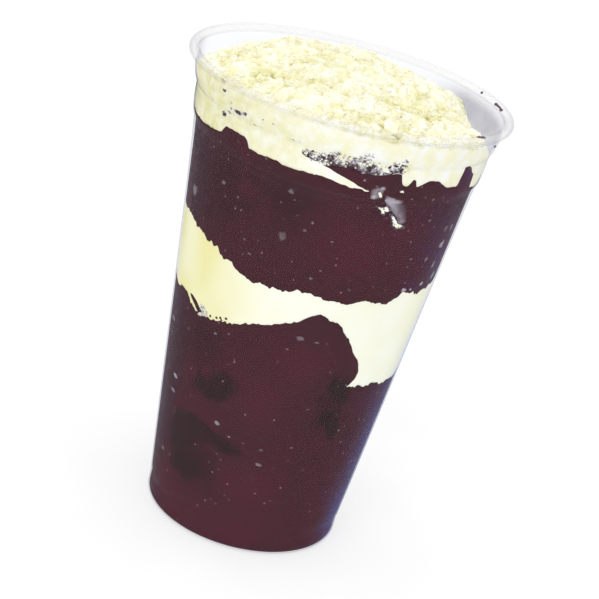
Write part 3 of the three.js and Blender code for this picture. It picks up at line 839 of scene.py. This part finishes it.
flecks = make_pads("ice_flecks", [blot(*fleck[:4], 80 + n, rough=0.35)
                                  for n, fleck in enumerate(FLECKS)], belly=0.3, rings=8, reach=0.26)
void_dark = make_pads("cream_void", [
    closed_outline([(-54.6, 72.9), (-52.4, 73.1), (-48.6, 72.4), (-45.4, 71.1), (-43.4, 70.2),
                    (-44.2, 69.2), (-46.6, 69.6), (-49.6, 70.9), (-53.2, 72.2)], 70, 120, ragged=0.12)]
    + [blot(a, z, w, 0.36, 121 + n, rough=0.15) for n, (a, z, w) in enumerate(
        [(-37.6, 70.7, 0.4), (-33.8, 71.3, 0.4), (-31.7, 71.9, 0.42), (-28.6, 72.5, 0.42),
         (-31.0, 71.3, 0.3)])], reach=0.3, rings=6)
void_film = make_pads("cream_film", [closed_outline(
    [(-45.6, 72.2), (-42.6, 72.3), (-40.2, 71.3), (-39.2, 70.2), (-41.2, 69.4), (-44.8, 68.6),
     (-46.4, 68.9), (-43.6, 69.8), (-42.9, 70.9)], 70, 130, ragged=0.12)], reach=0.36, rings=6)

# %% [markdown]
# ### Acai
# Acai is frozen berry pulp, ground fine: nearly black red with browner and darker clouds, and
# tiny pale ice specks. Towards the sides, most at the right, it has a painted violet reflection.
# The clouds that the photograph shows lie at known places, so numbers on the points hold them,
# and noise breaks their edges.

# %% Acai
DARK_CLOUDS = [(-31, 49, 12, 4), (-22, 54, 7, 3.5), (-45, 30, 13, 7), (-30, 35.5, 13, 3),
               (-15, 33, 6, 1.8), (-36, 20, 11, 4.5), (31, 61, 6, 3.5), (35, 57, 4, 3), (32, 49, 5, 3),
               (37, 44.5, 4, 3)]
DIM_CLOUDS = [(-42, 108, 14, 12), (-12, 113, 13, 8), (-62, 60, 10, 10), (-38, 62, 14, 7),
              (-28, 24, 14, 8), (31, 53, 10, 12), (-66, 36, 16, 28), (-66, 108, 16, 14)]
RED_CLOUDS = [(0, 22, 18, 9), (20, 106, 14, 10), (-4, 50, 12, 10), (12, 66, 9, 8), (-50, 8, 30, 6),
              (-10, 6, 40, 6), (40, 112, 10, 8)]


def acai_finish():
    """Reds mixed by the clouds and by noise, dark patches with ragged edges, a painted violet
    reflection at the sides, with specks, pale marks, painted gleams and a damp gloss."""
    f = Finish("acai")
    broad = f.grain(16, detail=5, distortion=0.6)
    fine = f.grain(2.2, detail=6, roughness=0.65)
    patchy = f.times(f.grain(5, detail=8, roughness=0.72), 2.4)
    cells = f.put("ShaderNodeTexVoronoi", Vector=f.place, Scale=1 / (1.7 * MM))
    chosen = f.put("ShaderNodeSeparateColor", Color=cells.outputs["Color"]).outputs[0]
    speck = f.times(f.between(cells.outputs["Distance"], 0.28, 0.08),
                    f.between(chosen, 0.8, 0.92, 0, 0.5))
    base = f.mixed(f.between(broad, 0.35, 0.65), ACAI["brown"], ACAI["red"])
    for share, colour in (
            (f.times(f.number("red"), f.between(fine, 0.2, 0.7, 0.4, 1)), "magenta"),
            (f.between(f.plus(f.number("dim"), patchy), 1.45, 2.1, 0, 0.9), "dim"),
            (f.between(f.plus(f.number("dark"), patchy), 1.5, 1.9, 0, 0.9), "dark"),
            (f.between(fine, 0.5, 0.62, 0, 0.3), "dim"),
            (f.times(f.number("violet"), f.between(fine, 0.3, 0.7, 0.55, 1)), "violet"),
            (speck, "ice"),
            (f.times(f.number("frost"), f.between(fine, 0.25, 0.6, 0.55, 1)), "frost"),
            (f.number("gleam"), "frost")):
        base = f.mixed(share, base, ACAI[colour])
    return f.done(f.put("ShaderNodeBsdfPrincipled", Base_Color=base, Normal=f.bump(broad, 0.3, 0.3),
                        Roughness=f.between(fine, 0.3, 0.7, 0.42, 0.6), IOR=1.36,
                        Specular_IOR_Level=0.05))


# Of these colours, violet is a painted reflection, and the last one is for pale flecks and films and
# for the painted gleams.
ACAI = {"red": paint(74, 38, 46), "brown": paint(68, 40, 45), "dim": paint(60, 37, 42),
        "dark": paint(49, 36, 38), "magenta": paint(80, 40, 51), "violet": paint(72, 47, 88),
        "ice": paint(160, 128, 142), "frost": paint(208, 203, 210)}
acai = acai_finish()


def shade_acai(piece):
    """Stores the clouds on an acai piece, and a painted violet reflection that grows towards the
    sides, most at the right, and fades behind them."""
    points = stored_points(piece)
    angle, z = angle_of(points), points[:, 2]
    # Painted violet reflection towards the sides, most at the right.
    right = 0.85 * eased(angle, 38, 78) * eased(angle, 125, 88)
    left = 0.22 * eased(-angle, 44, 78) * eased(-angle, 125, 88)
    slanted = np.stack([angle * 0.35, z * 0.9 + angle * 0.25], -1)
    streaks = 0.72 + 0.4 * cloudy(slanted, 6, 51) + 0.4 * cloudy(slanted, 2.2, 52)
    store(piece, dark=bells(points, DARK_CLOUDS), dim=bells(points, DIM_CLOUDS),
          red=bells(points, RED_CLOUDS), violet=np.clip((right + left) * streaks, 0, 1))


def to_the_middle(piece, softness):
    """On pads, 0 near the outline, where they sink into the layer, to 1 from a share inwards."""
    middle = np.empty(len(piece.data.vertices))
    piece.data.attributes["middle"].data.foreach_get("value", middle)
    return eased(middle, 0.1, 0.1 + softness)


def soft_on(piece, name, strengths, softness=0.45):
    """Stores a number on pads of equal size: each pad's own strength, soft towards its outline."""
    share = to_the_middle(piece, softness)
    store(piece, **{name: np.repeat(strengths, len(share) // len(strengths)) * share})


def film_streaks(points):
    """Streaks of the air film that slope down to the right, fading towards its right side."""
    angle = angle_of(points)
    across = np.stack([points[:, 2] + 0.4 * angle, 0.12 * angle], -1)
    fade = eased(angle + 0.6 * (points[:, 2] - 118), 35.5, 28.5)
    return (0.36 + 0.3 * cloudy(across, 1.0, 62)) * fade


for piece, *nodes in ((acai_lower, "acai_lower"), (acai_upper, "acai_upper"), (acai_bulge,),
                      (air_film,), (bubble,), (film_gleams,), (pocket_gaps,), (pocket_specks,),
                      (flecks,), (void_dark,), (dark_gaps,)):
    shade_acai(piece)
    finish_piece(piece, acai, "acai", *nodes)

soft_on(flecks, "frost", [0.5 * fleck[-1] for fleck in FLECKS], softness=0.45)
store(air_film, frost=film_streaks(stored_points(air_film)) * to_the_middle(air_film, 0.25))
store(film_gleams, frost=film_streaks(stored_points(film_gleams)))
soft_on(bubble, "frost", [0.38], softness=0.5)
soft_on(film_gleams, "gleam", [0.6, 0.4, 0.4, 0.25], softness=0.7)

# %% [markdown]
# ### Sweet cream
# The cream is thick and smooth, pale yellow, nearly white where the light reaches it, with painted
# shade that makes it yellower at the left. Light goes a little way into it, so a weak subsurface
# share softens it.

# %% Sweet cream
SOFT_LIGHT = (1.0, 0.9, 0.6)  # how far red, green and blue light go into pale food
# The yellow colour is the painted shade at the cream's sides.
CREAM = {"pale": paint(249, 249, 230), "yellow": paint(236, 230, 164), "warm": paint(246, 244, 214)}


def cream_finish():
    """Pale and warm mixed by slow noise, then a yellow painted shade by a number on the points, soft
    and a little glossy.
    """
    f = Finish("sweet_cream")
    base = f.mixed(f.between(f.grain(9, detail=3), 0.3, 0.75, 0, 0.5), CREAM["pale"], CREAM["warm"])
    base = f.mixed(f.number("yellow"), base, CREAM["yellow"])
    return f.done(f.put("ShaderNodeBsdfPrincipled", Base_Color=base, Roughness=0.45, IOR=1.4,
                        Normal=f.bump(f.grain(1.2), 0.2, 0.1), Subsurface_Weight=0.15,
                        Subsurface_Radius=SOFT_LIGHT, Subsurface_Scale=1.5 * MM,
                        Specular_IOR_Level=0.3))


def shade_cream(piece):
    """Stores painted shade on the cream's sides, as yellow: most at the left, a little at the right,
    in slow patches.
    """
    points = stored_points(piece)
    angle = angle_of(points)
    left = np.clip((-angle - 10) / 36, 0, 1) * eased(-angle, 180, 110)
    right = 0.25 * np.clip((angle - 50) / 20, 0, 1) * eased(angle, 180, 110)
    patches = 0.8 + 0.4 * cloudy(points, 9, 61)
    store(piece, yellow=np.clip((left + right) * patches, 0, 1))


shade_cream(cream)
finish_piece(cream, cream_finish(), "sweet_cream", "cream_layer")

# %% [markdown]
# ## Milk powder
# The powder fills the top of the cup and stands in a heap above the rim. It cakes into soft
# clumps of 1 to 7 mm with pits between them. Modelling every grain would take millions of faces,
# so the heap is one core with clumps of three sizes and finer grit in its relief, and real loose
# clumps, crumbs and grains lie on top, which break its outline as grains do. The core is a square
# grid drawn out to a disc, which keeps its cells even, and it goes on down the wall to the acai.

# %% The bare heap
HEAP_PEAK, HEAP_DROP, HEAP_ROUNDNESS = 145.4, 7.6, 1.7
HEAP_TILT = (-0.045, -0.015)
HEAP_REPOSE, HEAP_BLEND = 0.85, 4.0
HEAP_CLING, CLING_REACH = 1.0, 1.2
WALL_FADE, FADE_REACH = 0.3, 4  # the relief's share at the wall, and what it takes to fade in
HEAP_TOP = 146.9  # nothing stands higher, so that the whole stays in the solids' box
HEAP_LIMIT = HEAP_TOP - 1.2  # where the soft limit begins


def heap_edge(places):
    """The heap's height at the wall in the direction of each place, the wall's radius there, and how
    far out the place lies."""
    edge = round_the_cup(HEAP_AT_WALL, angle_of(places))
    return edge, inner_wall(edge), np.hypot(places[..., 0], places[..., 1])


def bare_heap(places):
    """Height of the heap before its clumps: the lower of a dome, which clings to the wall a little,
    and of a loose edge that rises from the wall, blended over 4 mm."""
    edge, wall, r = heap_edge(places)
    dome = HEAP_PEAK + places @ np.array(HEAP_TILT) - HEAP_DROP * (r / wall) ** HEAP_ROUNDNESS
    dome = dome + HEAP_CLING * np.exp(-np.clip(wall - r, 0, None) / CLING_REACH)
    rim = edge + HEAP_REPOSE * (wall - r)
    near = np.clip(1 - np.abs(dome - rim) / HEAP_BLEND, 0, None)
    return np.minimum(dome, rim) - HEAP_BLEND / 4 * near ** 2


def broad_relief(places):
    """Soft tufts of 7 and 3.6 mm on slow waves of 11 mm. Mean about 0."""
    push = np.stack([cloudy(places, 3.2, 71), cloudy(places, 3.2, 72)], -1)
    moved = places + 1.3 * push
    return (0.2 * clumpy(moved, 7, 81) + 0.5 * clumpy(moved, 3.6, 84)
            + 0.8 * cloudy(places, 11, 93) - 1.47)


def fine_relief(places):
    """Crumbs of 1.7 mm and finer grit, pushed about by noise. Mean about 0."""
    push = np.stack([cloudy(places, 0.9, 73), cloudy(places, 0.9, 74)], -1)
    moved = places + 0.45 * push
    return (0.42 * clumpy(moved, 1.7, 87) + 0.24 * cloudy(moved, 0.9, 95)
            + 0.12 * cloudy(moved, 0.5, 96) - 0.33)


def heap_surface(places):
    """The heap with its clumps, which fade at the wall. Above the limit L a height z becomes
    L + 1 - exp(L - z), so nothing passes the highest level."""
    edge, wall, r = heap_edge(places)
    fade = np.clip(WALL_FADE + (wall - r) / FADE_REACH, WALL_FADE, 1)
    z = bare_heap(places) + fade * (broad_relief(places) + fine_relief(places))
    return np.where(z > HEAP_LIMIT, HEAP_LIMIT + (1 - np.exp(-np.clip(z - HEAP_LIMIT, 0, None))), z)


def how_hollow(places):
    """0 on the tops and 1 in the pits: counts the broad relief by 0.36 and the fine one by 0.6, in
    clouds of 5 mm."""
    return np.clip(0.3 - 0.36 * broad_relief(places) - 0.6 * fine_relief(places)
                   + 0.16 * cloudy(places, 5, 97), 0, 1)


# %% The core of the powder
CORE_CELLS = 280
u, v = np.meshgrid(*[np.linspace(-1, 1, CORE_CELLS + 1)] * 2, indexing="ij")
disc = np.stack([u * np.sqrt(1 - v * v / 2), v * np.sqrt(1 - u * u / 2)], -1)
edge_place = on_the_round(angle_of(disc), heap_edge(disc)[1] + PALE_REACH, 0.0)[..., :2]
edge_radius = inner_wall(heap_surface(edge_place)) + PALE_REACH
core_place = disc * edge_radius[..., None]
core_top = np.concatenate([core_place, heap_surface(core_place)[..., None]], -1)

i, j = np.meshgrid(np.arange(CORE_CELLS), np.arange(CORE_CELLS), indexing="ij")
side = CORE_CELLS + 1
core_quads = np.stack([i * side + j, (i + 1) * side + j, (i + 1) * side + j + 1, i * side + j + 1],
                      -1).reshape(-1, 4)
n = np.arange(CORE_CELLS)
border = np.concatenate([n * side, CORE_CELLS * side + n, (CORE_CELLS - n) * side + CORE_CELLS,
                         CORE_CELLS - n])
border_points = core_top.reshape(-1, 3)[border]
border_angle = angle_of(border_points)

POWDER_ROWS = 14
low = top_of_the_acai(border_angle) - TUCK
share = np.linspace(0, 1, POWDER_ROWS + 1)[1:, None]
wall_z = border_points[:, 2] * (1 - share) + low * share
wall_rings = on_the_round(border_angle[None, :], inner_wall(wall_z) + PALE_REACH, wall_z)
under = np.linspace(1, 0, 6)[1:-1, None]
under_z = UPPER_ACAI_MIDDLE - TUCK + (low - UPPER_ACAI_MIDDLE + TUCK) * under ** BURIED_FLATTENING
under_rings = on_the_round(border_angle[None, :], under * (inner_wall(low) + PALE_REACH), under_z)
rings = np.concatenate([wall_rings, under_rings])
count = len(border)
core_points = np.concatenate([core_top.reshape(-1, 3), rings.reshape(-1, 3),
                              [(0, 0, UPPER_ACAI_MIDDLE - TUCK)]])
first = side * side
k = (np.arange(count) + 1) % count
rim_quads = np.stack([border, first + np.arange(count), first + k, border[k]], -1)
down_quads = ring_quads(len(rings), count, first)[:, [0, 3, 2, 1]]
last = first + (len(rings) - 1) * count
bottom = np.stack([last + np.arange(count), np.full(count, len(core_points) - 1), last + k], -1)
powder = make_piece("powder_core", core_points, core_quads, rim_quads, down_quads, bottom)


def behind_the_wall(points):
    """Painted shade on the powder seen through the wall, as yellow: more at the left and a little at
    the right, in mottles of 5 mm."""
    angle = angle_of(points)
    sides = (0.68 * np.clip((-angle - 4) / 48, 0, 1) * eased(-angle, 180, 110)
             + 0.08 * np.clip((angle - 48) / 22, 0, 1) * eased(angle, 180, 110))
    return np.clip(0.09 + sides + 0.12 * cloudy(points, 5, 101), 0, 0.75)


# Painted shade: by depth on the heap, and at the sides of the powder seen through the wall.
hollow = np.zeros(len(core_points))
hollow[:first] = how_hollow(core_place).ravel()
hollow[first:first + len(wall_rings) * count] = behind_the_wall(wall_rings).ravel()
store(powder, hollow=hollow)
print("heap, mm:", core_top[..., 2].min().round(2), "to", core_top[..., 2].max().round(2))
for relief in (broad_relief, fine_relief):
    print("mean of the relief, mm:", relief(core_place).mean().round(2))

# %% Loose clumps, crumbs and grains
def ball(fineness):
    """Points and triangles of a ball of radius 1: 20 * 4^(fineness - 1) even ones, or 48 for 0."""
    made = bmesh.new()
    if fineness:
        bmesh.ops.create_icosphere(made, subdivisions=fineness, radius=1)
    else:
        bmesh.ops.create_uvsphere(made, u_segments=6, v_segments=5, radius=1)
    bmesh.ops.triangulate(made, faces=made.faces)
    points = np.array([v.co[:] for v in made.verts])
    triangles = np.array([[v.index for v in f.verts] for f in made.faces])
    made.free()
    # They come in no fixed order, so each one starts at its lowest point and they are sorted.
    lowest = triangles.argmin(1)[:, None]
    triangles = np.take_along_axis(triangles, (lowest + np.arange(3)) % 3, 1)
    return points, triangles[np.lexsort(triangles.T[::-1])]


def scatter(name, count, sizes, fineness, seed, rough, sunk, spread=1.0, flat=0.8):
    """Many lumps on the heap as one mesh. Each is a ball turned at random, its radius changed by
    noise, laid at a random place on the heap and sunk by a share of its size. It takes over part of
    the painted shade of the hollow that it lies in, and gets more on its lower side."""
    random = np.random.default_rng(seed)
    points, triangles = ball(fineness)
    radius = sizes[0] + (sizes[1] - sizes[0]) * random.random(count) ** 2.2
    out = np.sqrt(random.random(count)) * spread
    angle = random.random(count) * 360 - 180
    wall = inner_wall(round_the_cup(HEAP_AT_WALL, angle)) - radius
    place = on_the_round(angle, out * wall, 0.0)[:, :2]
    height = heap_surface(place) + radius * (flat - 2 * sunk * flat)
    turn = random.normal(size=(count, 4))
    a, b, c, d = (turn / np.linalg.norm(turn, axis=1, keepdims=True)).T
    turned = np.stack([1 - 2 * (c * c + d * d), 2 * (b * c - a * d), 2 * (b * d + a * c),
                       2 * (b * c + a * d), 1 - 2 * (b * b + d * d), 2 * (c * d - a * b),
                       2 * (b * d - a * c), 2 * (c * d + a * b), 1 - 2 * (b * b + c * c)], -1)
    shape = np.einsum("nij,pj->npi", turned.reshape(-1, 3, 3), points)
    offset = random.random((count, 1, 3)) * 900
    bumps = cloudy(shape + offset, 0.9, seed) + 0.5 * cloudy(shape + offset, 0.4, seed + 1)
    shape = shape * (1 + rough * bumps[..., None]) * (1, 1, flat)
    middle = np.concatenate([place, height[:, None]], -1)
    shape = middle[:, None, :] + radius[:, None, None] * shape
    lower = (height[:, None] - shape[..., 2]) / radius[:, None]
    # Painted shade: part of the pit's shade, more on the lump's lower side.
    hollow = np.clip(0.65 * how_hollow(place)[:, None] + 0.25 * lower, 0, 1)
    keep = shape[..., 2].max(1) < HEAP_TOP
    shape = shape[keep]
    faces = triangles[None] + np.arange(len(shape))[:, None, None] * len(points)
    piece = make_piece(name, shape.reshape(-1, 3), faces.reshape(-1, 3))
    store(piece, hollow=hollow[keep])
    return piece


powder_clumps = scatter("powder_clumps", 60, (1.1, 2.6), 4, 5, rough=0.45, sunk=0.76, spread=0.95)
powder_crumbs = scatter("powder_crumbs", 1500, (0.3, 0.85), 0, 6, rough=0.5, sunk=0.6)
powder_grains = scatter("powder_grains", 8000, (0.14, 0.32), 1, 7, rough=0.3, sunk=0.4)

# %% [markdown]
# ### Powder finish
# Fresh milk powder is matt and pale yellow. Its tops look nearly white in the light, and its
# pits are painted a deeper, slightly green yellow as shade, so the relief's depth is stored on
# the points. Loose lumps get more painted shade on their lower sides, and the powder seen through
# the wall is painted with shade, most at its left. On the wall a second number says how wet it
# is: noise turns it into grey films and dark gaps.

# %% Milk powder finish
# The pit and deep colours are painted shade in the pits.
POWDER = {"top": paint(253, 253, 245), "body": paint(249, 245, 209), "pit": paint(226, 221, 162),
          "deep": paint(190, 184, 124), "film": paint(170, 165, 172), "gap": paint(66, 53, 57),
          "slate": paint(108, 99, 110)}


def powder_finish():
    """Top and body colours by noise, then painted shade in the pit colours by depth and noise, matt,
    with fine grit as bump. Where it is wet, the sum of wetness and noise makes films above 0.8 and
    dark gaps above 0.94."""
    f = Finish("milk_powder")
    hollow = f.number("hollow")
    patch = f.grain(4.0, detail=6, roughness=0.65)
    mottle = f.between(f.grain(2.4), 0.3, 0.7, 0.58, 1.34)
    base = f.mixed(f.between(patch, 0.35, 0.65), POWDER["top"], POWDER["body"])
    base = f.mixed(f.times(hollow, mottle), base, POWDER["pit"])
    base = f.mixed(f.between(hollow, 0.78, 1.0), base, POWDER["deep"])
    level = f.plus(f.number("wet"), f.grain(0.9, roughness=0.65))
    gap = f.mixed(f.between(f.grain(1.5, detail=3), 0.42, 0.6), POWDER["gap"], POWDER["slate"])
    base = f.mixed(f.between(level, 0.8, 0.95, 0, 0.9), base, POWDER["film"])
    base = f.mixed(f.between(level, 0.94, 1.06), base, gap)
    return f.done(f.put("ShaderNodeBsdfPrincipled", Base_Color=base, Roughness=0.9,
                        Normal=f.bump(f.grain(0.5, roughness=0.7), 0.7, 0.25), Subsurface_Weight=0.1,
                        Subsurface_Radius=SOFT_LIGHT, Subsurface_Scale=0.8 * MM,
                        Specular_IOR_Level=0.15))


milk_powder = powder_finish()
finish_piece(powder, milk_powder, "milk_powder", "milk_powder")
for piece in (powder_clumps, powder_crumbs, powder_grains):
    finish_piece(piece, milk_powder, "milk_powder")
# These pads get a share of the painted shade of the powder seen through the wall.
for piece, yellower in ((powder_wedge, 0.3), (crumb_band, 1.0), (wet_marks, 1.0), (wall_crumbs, 0.3),
                        (pocket_crumbs, 0.3), (void_film, 0.3)):
    store(piece, hollow=yellower * behind_the_wall(stored_points(piece)))
    finish_piece(piece, milk_powder, "milk_powder")
store(crumb_band, wet=band_wetness(stored_points(crumb_band)))
# Dark marks at the wall: the wet number gives them grey films and dark gaps.
soft_on(wet_marks, "wet", [mark[-1] for mark in WET_MARKS], softness=0.85)
store(void_film, wet=0.4)
store(pocket_crumbs, wet=0.66 - 0.6 * to_the_middle(pocket_crumbs, 0.6))

# %% [markdown]
# ### Smears on the roll
# A few drops of acai have dried on the crown of the rolled lip. Each is a thin lens that lies on
# the roll, longer along it than across.

# %% Smears on the roll
ROLL_MIDDLE = (LIP_RADIUS - LIP_HALF_WIDTH, CUP_HEIGHT - LIP_HALF_HEIGHT)
SMEARS = [  # angle, degrees round the roll from its outer side, half length and half width in mm
    (122.3, 148, 0.5, 0.42), (109.6, 148, 0.8, 0.55), (107.6, 148, 1.0, 0.4), (105.6, 146, 1.0, 0.36),
    (103.6, 148, 1.0, 0.42), (102.2, 148, 0.7, 0.5), (53.8, 100, 0.6, 0.7), (54.8, 90, 0.7, 0.9),
    (55.8, 84, 0.6, 0.75)]


def smear(angle, round_roll, long, wide, thick=0.14):
    """A ball drawn out along the roll and across it, and flattened against it, on the ellipse's
    point (a cos t, b sin t) with the normal (cos t / a, sin t / b)."""
    turn = np.radians(round_roll)
    place = on_the_round(angle, ROLL_MIDDLE[0] + LIP_HALF_WIDTH * np.cos(turn),
                         ROLL_MIDDLE[1] + LIP_HALF_HEIGHT * np.sin(turn))
    outward, along = on_the_round(angle, 1.0, 0.0), on_the_round(angle + 90, 1.0, 0.0)
    upward = np.array([0, 0, 1])
    normal = outward * np.cos(turn) / LIP_HALF_WIDTH + upward * np.sin(turn) / LIP_HALF_HEIGHT
    normal = normal / np.linalg.norm(normal)
    points, triangles = ball(3)
    ragged = 1 + 0.3 * cloudy(points + angle, 0.9, 140)[:, None]
    across = np.cross(normal, along)
    axes = np.stack([along * long, across * wide, normal * thick])
    return place + (points * ragged) @ axes, triangles


made = [smear(*one) for one in SMEARS]
steps = np.arange(len(made))[:, None, None] * len(made[0][0])
smears = make_piece("lip_smears", np.concatenate([points for points, _ in made]),
                    (np.stack([triangles for _, triangles in made]) + steps).reshape(-1, 3))
shade_acai(smears)
store(smears, gleam=0.1)
finish_piece(smears, acai, "acai")

# %% [markdown]
# ## Floor, light and view
# A plain pale floor fills the picture behind the cup. It is white paper lit from below as well,
# so that shadows on it stay weak. One large soft light stands high at the front left, and a pale
# sky fills the shadows, as a white studio does.

# %% Floor
FLOOR_HALF = 4000.0
FLOOR_DROP = 0.1  # mm under the foot
corners = np.array([(-1, -1, 0), (1, -1, 0), (1, 1, 0), (-1, 1, 0)]) * FLOOR_HALF - (0, 0, FLOOR_DROP)
floor = make_piece("floor", corners, np.array([[0, 1, 2, 3]]))
f = Finish("floor_paper")
shade = f.mixed(f.between(f.grain(40, detail=2), 0.3, 0.7), paint(254, 254, 254), paint(252, 252, 253))
matt = f.put("ShaderNodeBsdfPrincipled", Base_Color=shade, Roughness=1.0, Specular_IOR_Level=0.0)
backlight = f.put("ShaderNodeEmission", Color=shade, Strength=1.04)
floor.data.materials.append(f.done(f.layered(0.6, matt, backlight)))

# %% Light
KEY_PLACE, KEY_AIM = Vector((-250, -1150, 1350)) * MM, Vector((0, 0, 70)) * MM
key = bpy.data.lights.new("key_light", "AREA")
key.size, key.energy, key.color = 0.9, 7.0, (1.0, 0.985, 0.96)  # metres, watts
light = bpy.data.objects.new("key_light", key)
bpy.context.collection.objects.link(light)
light.location = KEY_PLACE
light.rotation_euler = (KEY_AIM - KEY_PLACE).to_track_quat("-Z", "Y").to_euler()
world = bpy.data.worlds.new("studio")
bpy.context.scene.world = world
world.use_nodes = True
sky = world.node_tree.nodes["Background"].inputs
sky["Color"].default_value, sky["Strength"].default_value = (0.995, 0.995, 1.0, 1), 1.0
bpy.context.scene.view_settings.view_transform = "Standard"
bpy.context.scene.cycles.transparent_max_bounces = 24
